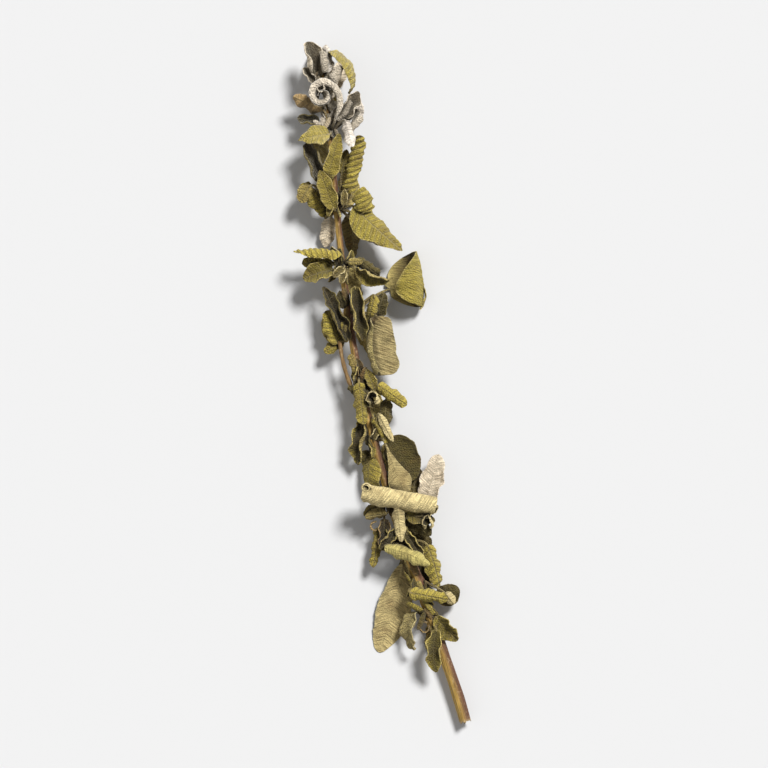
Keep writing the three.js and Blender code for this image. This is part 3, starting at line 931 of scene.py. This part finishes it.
    def build(self, work: Patchwork) -> None:
        """Adds the blade to the mesh as one thin closed shell.

        Args:
            work: the mesh of the leaf's whorl.
        """
        length, width = self.leaf.size
        rows = int(clamped(round(length / self.cell), *self.rows))
        columns = 2 * int(clamped(round(width / self.cell / 2), *self.columns))
        bm = work.bm
        flat = bmesh.ops.create_grid(bm, x_segments=columns, y_segments=rows, size=0.5)["verts"]
        faces = list({face for vert in flat for face in vert.link_faces})
        grown = bmesh.ops.extrude_face_region(bm, geom=faces, use_keep_orig=True)["geom"]
        raised = [part for part in grown if isinstance(part, bmesh.types.BMVert)]
        spots: dict = {}
        for side, verts in ((-1, flat), (1, raised)):
            for vert in verts:
                even = vert.co.y + 0.5
                share = clamped(even - END_ROWS * math.sin(2 * math.pi * even), 0.0, 1.0)
                across = clamped(2 * vert.co.x, -1.0, 1.0)
                vert.co, place = self.point(share, across, side)
                spots[vert] = (place, self.tint(across, side, share), side)
        shell = list({face for vert in flat + raised for face in vert.link_faces})
        work.settle(shell)
        for face in shell:
            sides = [spots[vert][2] for vert in face.verts]
            marks = (1.0 if sum(sides) > 0 else 0.0, self.leaf.relief / 2, self.leaf.veins)
            work.paint(face, {vert: spots[vert][:2] for vert in face.verts}, marks)
            if 0 < sides.count(1) < len(sides):
                for edge in face.edges:
                    edge.smooth = False

    def stalk(self, work: Patchwork, grows_from: Vector) -> None:
        """Adds the thin grooved stalk from where the leaf grows to its blade.

        Args:
            work: the mesh of the leaf's whorl.
            grows_from: the point on the stem or twig.
        """
        half = self.bend / 2
        start = self.along * math.cos(half) + self.upper * math.sin(half)
        root = self.root
        if self.leaf.stalk_to:
            root = placed(self.leaf.stalk_to, self.at)
            start = Vector((1.0, 0.0, 0.0))
        reach = (root - grows_from).length
        first, last = grows_from.lerp(root, 0.4), root - start * 0.3 * reach
        end = root + start * STALK_SINK
        rings = []
        for step in range(self.stalk_steps + 1):
            share = step / self.stalk_steps
            rest = 1 - share
            point = grows_from * rest**3 + first * 3 * rest**2 * share + last * 3 * rest * share**2
            point = point + end * share**3
            radius = self.stalk_radii[0] + (self.stalk_radii[1] - self.stalk_radii[0]) * share
            rings.append((pressed(point), radius * (1 + 0.1 * math.sin(9 * share + self.shift.y))))
        ends = (linear_colour(STALK_COLOUR), self.leaf.tone.under)
        colours = [blended(*ends, step / len(rings)) for step in range(len(rings))]
        work.tube(rings, 8, colours)


def on_ridge(leaf: Leaf, at: float) -> Vector:
    """Where a leaf's stalk leaves the stem, on the side that its blade is on."""
    _, side, up = leaf.root
    return stem_point(at) + Vector((side, 0.0, up)).normalized() * (stem_radius(at) + RIDGE_HEIGHT / 2)


@dataclass
class Whorl:
    """The leaves that grow round one node of the stem.

    Small is how many small leaves sit in its axils, reach is how far along the stem they are found, and
    hollow is the sides that they curl to, -1 for their under side. Threads are tendrils and rolled
    scraps that its solid leaves out.
    """

    name: str
    at: float
    leaves: list[Leaf]
    slot: str = "green_leaf"
    small: int = 6
    reach: Pair = (-3.0, 4.0)
    hollow: Pair = (-1.0, 1.0)
    threads: tuple[Leaf, ...] = ()
    fan: Pair = (-75, 75)
    small_length: Pair = (5.0, 8.5)
    small_width: Pair = (3.4, 5.0)
    small_curl: Pair = (70, 125)

    def small_leaves(self) -> list[Leaf]:
        """The small crumpled leaves that sit in the axils, close to the stem.

        Returns:
            The leaves, the same on each run.
        """
        chance = random.Random(self.name)
        tones = [Tone.WOOLLY, Tone.GREY, Tone.WOOLLY, Tone.WOOLLY, Tone.GREY]
        relief = 0.25
        if self.slot == "green_leaf":
            tones = [Tone.OLIVE, Tone.DARK, Tone.PALE, Tone.BROWN]
            relief = 0.7
        made = []
        for number in range(self.small):
            share = (number + chance.uniform(0.2, 0.8)) / self.small
            turn = math.radians(self.fan[0] + (self.fan[1] - self.fan[0]) * share)
            out = stem_radius(self.at) + chance.uniform(0.3, 1.4)
            root = (chance.uniform(*self.reach), out * math.sin(turn), out * math.cos(turn))
            aim = chance.choice((0, 180)) + chance.uniform(-45, 45)
            size = (chance.uniform(*self.small_length), chance.uniform(*self.small_width))
            curl = chance.choice(self.hollow) * chance.uniform(*self.small_curl)
            way = (aim, chance.uniform(-5, 25), math.degrees(turn) + chance.uniform(-40, 40))
            tone = tones[number % len(tones)]
            bend = chance.uniform(10, 60)
            curls = (curl, curl * 0.7)
            made.append(Leaf(root, way, size, curls, bend, tone, has_stalk=False, relief=relief))
        return made

    def build(self, finish: bpy.types.Material, grows_from: Vector | None = None) -> None:
        """Makes the whorl's leaves as one piece that stands for its solid.

        Args:
            finish: the leaf material.
            grows_from: where the stalks start, or nothing for the stem itself.
        """
        work = Patchwork()
        for number, leaf in enumerate([*self.leaves, *self.small_leaves(), *self.threads]):
            blade = Blade(leaf, self.at, f"{self.name} {number}")
            blade.build(work)
            if leaf.has_stalk:
                blade.stalk(work, grows_from or on_ridge(leaf, self.at))
        piece = work.finished(f"{self.name}_leaves", finish)
        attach(piece, "root")
        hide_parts(self.name)
        LOG.info("%s: %d leaves, %d faces", self.name, len(self.leaves), len(piece.data.polygons))


def stalkless(root: Place, way: Place, size: Pair, curl: Pair, bend: float, tone: Tone, **more) -> Leaf:
    """A leaf, tendril or rolled scrap that sits right where its root is, without a stalk."""
    return Leaf(root, way, size, curl, bend, tone, has_stalk=False, **more)


def back_leaf(root: Place, aim: float, rise: float, size: Pair, tone: Tone = Tone.OLIVE, **more) -> Leaf:
    """A slightly curled leaf behind the stem, where the photograph doesn't show it, upper side down."""
    return Leaf(root, (aim, rise, 180), size, (-50, -50), 20, tone, **more)


def whorls() -> list[Whorl]:
    """The whorls, from the lowest to the tip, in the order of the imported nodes."""
    return [
        Whorl("whorl_01_lowest", 44, [
            Leaf((4.5, -5.5, 1), (-166, 0, 60), (17, 10), (30, 30), 90, Tone.FELTED),
            Leaf((1, 2, 4), (150, -5, 20), (13, 10), (70, 70), 20, Tone.OLIVE),
            Leaf((-4, 1, 5.5), (-167, -5, 0), (17.5, 8.5), (90, 90), 15, Tone.OLIVE, relief=0.5, sway=1.0),
            Leaf((-2, -0.5, -4), (-172, -14, 180), (16, 7), (-40, -40), 20, Tone.OLIVE),
        ], threads=(stalkless((-0.8, -2.2, 2.5), (150, 0, -90), (11, 0.9), (0, 0), -330, Tone.BROWN),)),
        Whorl("whorl_02", 60, [
            Leaf((-3, -4.5, 6), (113, 0, 0), (16, 7.5), (-95, -95), 20, Tone.BRIGHT),
            Leaf((-6.5, 9.5, 4), (150, -10, 180), (6, 5), (60, 60), 30, Tone.PALE),
            Leaf((-9, 6, -1), (72, 0, 0), (10, 9), (20, 20), 10, Tone.DARK, roundness=0.45, relief=0.5),
            back_leaf((1, 1, -4), 176, -14, (13, 7)),
        ]),
        Whorl("whorl_03", 78, [
            Leaf((7, -8.5, 1), (-159, 0, 0), (16.5, 7), (-130, -130), 15, Tone.OLIVE, relief=1.3),
            Leaf((5, -1.5, 5), (-128, 0, 0), (11, 7), (110, 110), 10, Tone.OLIVE),
            Leaf((3, 1.5, 5.5), (160, 0, 0), (13, 7), (110, 110), 10, Tone.OLIVE),
            Leaf((0, 4, -3), (125, 0, 0), (8, 8), (-60, -60), 20, Tone.DARK),
            Leaf(
                (-1, -8, 8.5), (124, 0, 170), (19.5, 8.5), (95, 95), -20, Tone.GREEN,
                relief=0.25, sway=1.0,
            ),
            Leaf((-4, 9, 2), (176, -3, -15), (18, 9), (-90, -90), 30, Tone.BRIGHT, relief=1.3),
            Leaf((-6, 5, -2), (172, -4, 0), (14, 7), (-50, -50), 10, Tone.DARK),
            Leaf(
                (-9.5, -2.5, -3.5), (-153, -9, 165), (38, 15), (-25, -20), 20, Tone.FELTED,
                relief=0.25, sway=1.5, widest=0.55,
            ),
            back_leaf((0, 0.5, -6), 180, -14, (22, 9)),
        ]),
        Whorl("whorl_04", 97, [
            Leaf(
                (-8.5, 17.5, 9), (-64.5, 10, 180), (31, 19.5), (170, 140), 12, Tone.PALE,
                roundness=0.28, relief=0.35, aside=8,
            ),
            Leaf((-4, -3, 3), (-100, 0, 150), (9, 6), (70, 70), 10, Tone.DARK),
            Leaf((-7, -2.5, 5.5), (-88, 0, 150), (9, 6), (70, 70), 30, Tone.DARK),
            Leaf((-9, -4, 1), (-168, 0, 0), (13, 8), (110, 110), 20, Tone.BROWN),
            Leaf((-4.5, 2.5, 8.9), (-174, -5, 180), (15, 6), (80, 80), 20, Tone.PALE, relief=0.6),
            Leaf((-9, 5, 4), (115, 0, 0), (12, 7), (60, 60), 10, Tone.OLIVE),
            Leaf((-10, 4.5, 2.5), (139, -3, 0), (13, 8), (-60, -60), 20, Tone.DARK),
            Leaf((-14, 13, 2), (12, 60, 0), (6, 11), (160, 160), 0, Tone.PALE),
            Leaf((-11, 11, 5), (70, 10, 0), (8, 5), (100, 100), 10, Tone.PALE),
            Leaf((-6, 14, 0), (27, 0, 170), (20, 11), (-60, -60), 20, Tone.GREY, relief=0.2),
            Leaf((-4, 9, -2), (15, 0, 180), (15, 9), (-40, -40), 20, Tone.DARK),
            back_leaf((-6, 6, -5), 170, -16, (19, 10)),
        ], threads=(
            stalkless((-9.6, -7.4, 2), (150, 0, -90), (9, 1), (0, 0), -300, Tone.BROWN),
            stalkless(
                (4.6, -6.6, 13.6), (100, 0, -90), (13, 2.5), (0, 0), -520, Tone.PALE,
                hook=1.2, relief=0.0,
            ),
        )),
        Whorl("whorl_05", 120, [
            Leaf((9, 2, 5), (160, 0, 10), (12, 6.5), (-100, -100), 20, Tone.OLIVE),
            Leaf((10, 4.5, 7), (166, 0, 180), (12.5, 3.5), (40, 40), 10, Tone.PALE),
            Leaf((9, -2.5, 1), (-161, -5, 20), (18.5, 9), (120, 120), 15, Tone.OLIVE),
            Leaf(
                (0, 4, 5), (171, -7.5, 180), (25, 10), (20, 20), 10, Tone.FELTED,
                widest=0.8, roundness=0.6, relief=0.1,
            ),
            Leaf((0, 8, 1), (167, -3, 0), (20, 15), (45, 45), -30, Tone.DARK, roundness=0.5, relief=0.15),
            Leaf((-6, -2.5, -0.5), (-172, -2, 50), (19, 12), (-30, -30), 50, Tone.OLIVE),
            Leaf((-5, -2, -2), (-102, 0, 0), (7, 5), (-40, -40), 20, Tone.OLIVE),
            back_leaf((-2, 5, -6), 166, -18, (20, 11)),
        ]),
        Whorl("whorl_06", 146, [
            Leaf((-6, 5, 3), (-9, 5, 10), (9, 5), (60, 60), 10, Tone.OLIVE),
            Leaf((-4.5, 6.5, 3), (137, 0, 0), (14.5, 8.5), (-110, -110), 20, Tone.BRIGHT, relief=0.8),
            Leaf((-9, 4, 3), (12, 65, 0), (6, 12), (160, 160), 0, Tone.PALE),
            Leaf((-2, -0.5, 6), (-174, -3, 0), (17, 8), (-90, -90), 20, Tone.OLIVE),
            Leaf((-11, 9, -2), (-163, -5, 0), (15, 7), (-80, -80), 20, Tone.DARK),
            back_leaf((-2, 2, -6), 175, -22, (20, 9)),
        ]),
        Whorl("whorl_07", 172, [
            Leaf((10, 5, 6), (-176, -5, 0), (22, 10), (125, 125), 15, Tone.OLIVE, relief=0.2),
            Leaf((5, 12, 3), (-155, -5, 10), (12, 7.5), (-130, -130), 40, Tone.OLIVE),
            Leaf((-5, 10, -1), (30, 0, 0), (12, 7), (60, 60), 10, Tone.DARK),
            Leaf(
                (-3.5, 11, 3), (-172, -3, 180), (24, 19), (-230, -15), 20, Tone.FELTED,
                widest=0.6, roundness=0.2, relief=0.4, sway=-2.5, aside=5,
            ),
            Leaf(
                (-3.5, 29.6, -5.5), (2, 0, 103), (23, 36), (-138, -138), 40, Tone.BRIGHT,
                roundness=0.27, stalk_to=(6.5, 18.1, -8.3), relief=0.3, widest=0.45, flare=0.2,
            ),
            stalkless((8.5, 29.3, -4), (-177, 0, -90), (15, 3), (0, 0), 110, Tone.BRIGHT),
            back_leaf((-1, 4, -6), 170, -20, (20, 9)),
        ]),
        Whorl("whorl_08", 192, [
            Leaf((4, 0.5, 5), (-75, 0, 60), (19.5, 8), (-95, -95), 40, Tone.BRIGHT, relief=1.3, aside=5),
            Leaf((2, -4, 1), (-81, 0, 0), (12, 8), (-120, -120), 20, Tone.OLIVE),
            Leaf((-1.5, -4, 2), (-95, 5, 30), (13, 10), (70, 70), 50, Tone.OLIVE),
            Leaf((-1.5, 0.5, 5), (-118, 10, 0), (6, 4), (80, 80), 10, Tone.PALE),
            Leaf((-3, 0.5, 5), (-147, 10, 0), (5.5, 3.5), (80, 80), 10, Tone.PALE),
            Leaf((0.5, 2.5, 4), (102, 0, 0), (6, 3.5), (-60, -60), 20, Tone.PALE),
            Leaf((1, 6, 2), (138, 0, 0), (12, 7), (-120, -120), 50, Tone.DARK),
            Leaf((-3, 5, 4), (123, 0, 40), (14.5, 8), (80, 80), 30, Tone.OLIVE),
            back_leaf((0, 1.5, -6), 172, -20, (17, 8)),
            back_leaf((1, -4, -6), -85, -34, (12, 8)),
        ]),
        Whorl("whorl_09", 214, [
            Leaf((12, -1.7, 4), (27, 0, 15), (20, 7.5), (55, 60), 10, Tone.OLIVE, relief=0.6),
            Leaf((5, 7, 1), (21, 3, 20), (24, 13), (-150, -150), 10, Tone.BRIGHT, relief=1.8, aside=6),
            Leaf((14, 5, -2), (24, 0, 0), (10, 5), (60, 60), 10, Tone.OLIVE),
            Leaf((-1.5, -3, -1), (-33, 5, 30), (18, 10), (-90, -90), 50, Tone.OLIVE),
            Leaf((12, -8.5, 2), (-137, 0, -10), (8, 7), (-40, -40), 30, Tone.PALE),
            Leaf((0, -1, 5), (-8, 5, 0), (17, 7.5), (50, 60), 10, Tone.OLIVE, relief=0.6),
            Leaf((1, 3, 3), (17, 20, 0), (7, 3.5), (60, 60), 10, Tone.PALE),
            Leaf(
                (0, 7, 4), (145, -4, -15), (27, 14), (-80, -20), 35, Tone.BRIGHT,
                widest=0.32, relief=0.9, roundness=0.8, veins=0.12, sway=1.2,
            ),
            Leaf(
                (-3.5, 10.5, 6.5), (10, 5, 0), (10.5, 11), (-80, -80), 60, Tone.BRIGHT,
                relief=1.4, aside=5,
            ),
            Leaf((-2, 5, -5), (-173, -8, 160), (18, 8), (50, 50), 10, Tone.DARK),
            Leaf((-2, -3, -5), (-156, -5, 180), (12.5, 7), (40, 40), 10, Tone.GREY, relief=0.2),
            Leaf((-9, 8, -3), (140, -8, 0), (11, 5.5), (-60, -60), 20, Tone.GREY, relief=0.2),
            back_leaf((1, 4, -7), 20, -16, (18, 9)),
        ]),
        Whorl("whorl_10", 246, slot="grey_leaf", leaves=[
            Leaf(
                (4, 3.4, 8), (102, 0, -90), (34, 8), (-140, -140), -560, Tone.WOOLLY,
                hook=2.2, relief=0.12,
            ),
            Leaf((9, -1, 3), (-55, 0, 180), (13, 8), (90, 90), 30, Tone.BROWN, relief=0.6),
            Leaf((3, 6, 4), (42, 8, 0), (13, 9), (100, 100), 20, Tone.GREY, relief=0.25),
            Leaf((4, -3.5, 1), (-65, -5, 10), (9, 7), (110, 110), 10, Tone.DARK),
            Leaf(
                (-2, -0.5, 6), (-88, 0, 30), (13, 10), (30, 10), 40, Tone.BRIGHT,
                roundness=1.0, widest=0.3, relief=0.5,
            ),
            # Painted shade: this leaf has the dark tone so that the inside of its deep curl reads near
            # black.
            Leaf((-3, -10, 2), (172, -5, 0), (19, 11), (125, 125), 20, Tone.DARK, relief=0.5),
            Leaf((2, 7.2, 7), (179, -6, 180), (11, 7), (100, 100), 30, Tone.WOOLLY, relief=0.25),
            Leaf((3, 9, 1), (50, 0, 150), (8, 7), (60, 40), 60, Tone.WOOLLY, relief=0.2),
            Leaf((3, 4, 3), (80, 0, 0), (10, 7), (80, 80), 20, Tone.WOOLLY, relief=0.2),
            back_leaf((0, -3, -6), -155, -16, (16, 9)),
            back_leaf((2, 3, -6), 12, -10, (14, 9)),
        ], small=14, reach=(-2.0, 13.0), hollow=(-1.0, -0.8), threads=(
            stalkless((2, 5, 4), (35, 15, 20), (10, 7), (-110, -110), 40, Tone.WOOLLY, relief=0.2),
            stalkless((-2, 7, 4), (60, 20, 0), (9, 6), (-120, -120), 40, Tone.WOOLLY, relief=0.2),
        )),
        Whorl("tip_tuft", 262, slot="grey_leaf", leaves=[
            Leaf((8, -3, 2), (0, 15, 25), (13, 13), (140, 100), 20, Tone.GREY, relief=0.4),
            Leaf((7, 2.5, 3), (8, 5, 180), (11, 7), (80, 80), -30, Tone.WOOLLY, relief=0.25),
            Leaf((15, 4.5, 3), (166, 0, -60), (24, 8), (-40, -40), 130, Tone.BRIGHT, relief=1.0),
            Leaf((4, -3.5, 3), (-26, 8, 0), (7.5, 6), (120, 120), 0, Tone.GREY, relief=0.3),
            back_leaf((3, -1, -4), 0, -10, (15, 9), Tone.GREY, relief=0.3),
            back_leaf((0, 3, -5), 30, -12, (13, 8), Tone.GREY, relief=0.3),
        ], small=14, reach=(-4.0, 9.0), hollow=(-1.0, -0.8), threads=(
            stalkless((0, 3, 6), (28, 10, 20), (10, 8), (-120, -120), 30, Tone.WOOLLY, relief=0.2),
            stalkless((7, 1, 5), (10, 15, -30), (9, 6), (-120, -120), 40, Tone.WOOLLY, relief=0.2),
            stalkless((2, -3, 8), (20, 0, -90), (11, 4), (0, 0), -380, Tone.GREY),
        )),
    ]


def shoot_leaves() -> list[Leaf]:
    """The leaves at the end of the side twig."""
    return [
        Leaf((22.5, -1, 3), (-13, 0, 10), (24, 9), (120, 120), 15, Tone.DARK, relief=0.7),
        Leaf((22, -5.5, 1), (-6, 5, 20), (14.5, 9), (-70, -70), 30, Tone.BRIGHT),
        Leaf((22, -6, 0), (-110, 0, 0), (6, 5), (-50, -50), 40, Tone.OLIVE),
        back_leaf((20, -5, -1), -12, -14, (16, 8)),
    ]


@dataclass
class SideShoot:
    """A thin woody twig that leaves the stem and carries a few leaves at its end."""

    name: str = "side_shoot"
    at: float = 139.0
    radius: float = 0.9
    sides: int = 12
    steps: int = 40
    waviness: float = 0.12
    knot: float = 0.25
    knot_share: float = 0.97
    knot_sharpness: float = 400.0
    colour: str = "#8d6f44"
    line: tuple = ((1.5, -3, 1), (8, -4.5, 2), (16, -5, 2), (23, -4.5, 1.5))

    def build(self, bark: bpy.types.Material, finish: bpy.types.Material) -> None:
        """Makes the twig and its leaves, two pieces that stand for one solid.

        Args:
            bark: the material of the twig.
            finish: the material of its leaves.
        """
        points = [stem_point(self.at), *(placed(place, self.at) for place in self.line)]
        rings = []
        for step in range(self.steps + 1):
            share = step / self.steps
            knot = self.knot * math.exp(-((share - self.knot_share) ** 2) * self.knot_sharpness)
            swell = 1 + self.waviness * math.sin(31 * share) + knot
            rings.append((curve_point(points, share), self.radius * (1.15 - 0.35 * share) * swell))
        work = Patchwork()
        work.tube(rings, self.sides, [linear_colour(self.colour)] * len(rings))
        twig = work.finished(f"{self.name}_twig", bark)
        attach(twig, "root")
        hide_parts(self.name)
        Whorl(self.name, self.at, shoot_leaves()).build(finish, points[-1])


def curve_point(points: list[Vector], share: float) -> Vector:
    """A point of a smooth curve through the given points.

    Args:
        points: what the curve passes through.
        share: 0 at the first point and 1 at the last.

    Returns:
        The point.
    """
    spans = len(points) - 1
    span = min(int(share * spans), spans - 1)
    t = share * spans - span
    b, c = points[span], points[span + 1]
    a = points[span - 1] if span else b * 2 - c
    d = points[span + 2] if span + 2 <= spans else c * 2 - b
    return 0.5 * (b * 2 + (c - a) * t + (a * 2 - b * 5 + c * 4 - d) * t**2 + (b * 3 - a - c * 3 + d) * t**3)


@dataclass
class WoodyStem:
    """The four-sided woody stem, swollen where leaves grow and torn at its cut end."""

    stations: tuple = (44, 60, 78, 97, 120, 146, 172, 192, 214, 246, 262)
    sides: int = 32
    step: float = 0.9
    squareness: float = 0.06
    groove_depth: float = 0.035
    grooves: int = 12
    lumpiness: float = 0.12
    swelling: float = 0.75
    swelling_half: float = 2.4
    torn_mm: float = 1.6
    ochre_colour: str = "#cba552"
    brown_colour: str = "#694634"
    cut_colour: str = "#cbb084"
    pith_colour: str = "#d6bf92"

    def radius(self, at: float, angle: float) -> float:
        """The stem's radius in one direction.

        Args:
            at: millimetres from the cut end.
            angle: round the stem, from its top.

        Returns:
            The radius in millimetres.
        """
        base = stem_radius(at)
        swell = sum(math.exp(-(((at - station) / self.swelling_half) ** 2)) for station in self.stations)
        spot = Vector((at / 11, math.cos(angle) * 1.7, math.sin(angle) * 1.7))
        waver = 2 * noise.noise(Vector((at / 25, 3.0, 0.0)))
        grooves = self.groove_depth * math.cos(self.grooves * angle + waver)
        shape = 1 + self.squareness * math.cos(4 * angle) + grooves + self.lumpiness * noise.noise(spot)
        return base * shape + self.swelling * swell * (0.75 + 0.25 * math.cos(2 * angle + at))

    def colour(self, at: float, angle: float) -> tuple:
        """The bark's colour: ochre on its left, purple-brown on its right, pale at the cut end.

        Args:
            at: millimetres from the cut end.
            angle: round the stem, from its top.

        Returns:
            A linear colour.
        """
        ochre, brown = linear_colour(self.ochre_colour), linear_colour(self.brown_colour)
        turned = math.sin(angle) + 0.7 * noise.noise(Vector((at / 30, 8.0, 1.0)))
        bark = blended(ochre, brown, smooth_share(turned, -0.6, 0.7))
        return blended(linear_colour(self.cut_colour), bark, smooth_share(at, 0.3, 2.2))

    def build(self, bark: bpy.types.Material) -> None:
        """Makes the piece that stands for the woody_stem solid.

        Args:
            bark: its material.
        """
        work = Patchwork()
        bm = work.bm
        count = round(STEM_LENGTH / self.step)
        rings = work.grown_rings(self.sides, count)
        chance = random.Random("torn end")
        spots = {}
        for number, ring in enumerate(rings):
            at = STEM_LENGTH * number / count
            along = (stem_point(at + 0.5) - stem_point(at - 0.5)).normalized()
            across = (Vector((0, 0, 1)) - along * along.z).normalized()
            beside = along.cross(across)
            for vert in ring:
                angle = math.atan2(vert.co.y, vert.co.x)
                radius = self.radius(at, angle)
                out = across * math.cos(angle) + beside * math.sin(angle)
                torn = chance.uniform(0, self.torn_mm) if number == 0 else 0.0
                vert.co = stem_point(at) + out * radius + along * torn
                spots[vert] = ((at, angle * stem_radius(at)), self.colour(at, angle))
        for ring in (rings[0], rings[-1]):
            rim = list({edge for vert in ring for edge in vert.link_edges if edge.is_boundary})
            cap = bmesh.ops.holes_fill(bm, edges=rim, sides=0)["faces"]
            inner = bmesh.ops.inset_region(bm, faces=cap, thickness=0.25, depth=-0.3, use_even_offset=True)
            for vert in {vert for face in cap + inner["faces"] for vert in face.verts}:
                spots.setdefault(vert, ((0.0, vert.co.x), linear_colour(self.pith_colour)))
        faces = bm.faces[:]
        work.settle(faces)
        for face in faces:
            work.paint(face, spots, PLAIN_MARKS)
        piece = work.finished("woody_stem_bark", bark)
        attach(piece, "root")
        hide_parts("woody_stem")
        LOG.info("stem: %d faces", len(piece.data.polygons))


@dataclass(frozen=True)
class Lamp:
    """A soft light: where it shines from, its watts a square metre, and the angle it fills in degrees."""

    name: str
    place: Place
    strength: float
    spread: float


@dataclass
class Studio:
    """A plain pale floor, soft light, and a camera that looks straight down as the photograph does."""

    turn: float = math.radians(-12.31)
    lamps: tuple = (Lamp("key", (0.4, 0.6, 0.9), 4.1, 14.0), Lamp("fill", (-0.7, -0.2, 0.8), 0.3, 60.0))
    sky_strength: float = 0.24
    sky_colour: str = "#ffffff"
    floor_colour: str = "#d6d6d6"
    view_height: float = 312.0
    lens: float = 200.0
    sensor: float = 36.0
    floor_side: float = 6.0

    def camera(self) -> None:
        """Places the camera over the middle of the object."""
        data = bpy.data.cameras.new("camera")
        data.lens = self.lens
        data.sensor_width = self.sensor
        data.dof.use_dof = False
        data.clip_end = 20
        made = add_object("camera", data)
        away = self.view_height * METRES * self.lens / self.sensor
        made.location = (0.0, 0.0, away)
        made.rotation_euler = (0.0, 0.0, self.turn)
        bpy.context.scene.camera = made

    def light(self, lamp: Lamp) -> None:
        """Adds one light that shines evenly from one direction, turned with the picture.

        Args:
            lamp: which way it shines, how strongly and how softly.
        """
        data = bpy.data.lights.new(lamp.name, "SUN")
        data.energy = lamp.strength
        data.angle = math.radians(lamp.spread)
        made = add_object(lamp.name, data)
        made.location = Matrix.Rotation(self.turn, 3, "Z") @ Vector(lamp.place)
        made.rotation_euler = (-made.location).to_track_quat("-Z", "Y").to_euler()

    def floor(self) -> None:
        """Lays the pale floor, which isn't part of the object."""
        bm = bmesh.new()
        bmesh.ops.create_grid(bm, x_segments=1, y_segments=1, size=self.floor_side / 2)
        mesh = bpy.data.meshes.new("floor")
        bm.to_mesh(mesh)
        bm.free()
        paper = bpy.data.materials.new("studio_paper")
        paper.use_nodes = True
        shader = paper.node_tree.nodes["Principled BSDF"]
        shader.inputs["Base Color"].default_value = linear_colour(self.floor_colour)
        shader.inputs["Roughness"].default_value = 0.9
        shader.inputs["Specular IOR Level"].default_value = 0.1
        mesh.materials.append(paper)
        add_object("floor", mesh)

    def build(self) -> None:
        """Lights the scene and lays the floor."""
        scene = bpy.context.scene
        scene.view_settings.view_transform = "Standard"
        world = bpy.data.worlds.new("studio")
        world.use_nodes = True
        background = world.node_tree.nodes["Background"]
        background.inputs["Color"].default_value = linear_colour(self.sky_colour)
        background.inputs["Strength"].default_value = self.sky_strength
        scene.world = world
        for lamp in self.lamps:
            self.light(lamp)
        self.floor()


def main() -> None:
    """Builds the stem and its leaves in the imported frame, then the studio round them."""
    logging.basicConfig(level=logging.INFO, format="%(message)s")
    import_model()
    studio = Studio()
    studio.camera()
    bark = BarkFinish("dried_sage_bark").material()
    green = LeafFinish("dried_sage_leaf").material()
    grey = LeafFinish("dried_woolly_sage_leaf", felt_sheen=0.45, patch_share=0.4).material()
    WoodyStem().build(bark)
    for whorl in whorls():
        whorl.build(grey if whorl.slot == "grey_leaf" else green)
    SideShoot().build(bark, green)
    studio.build()


if __name__ == "__main__":
    main()
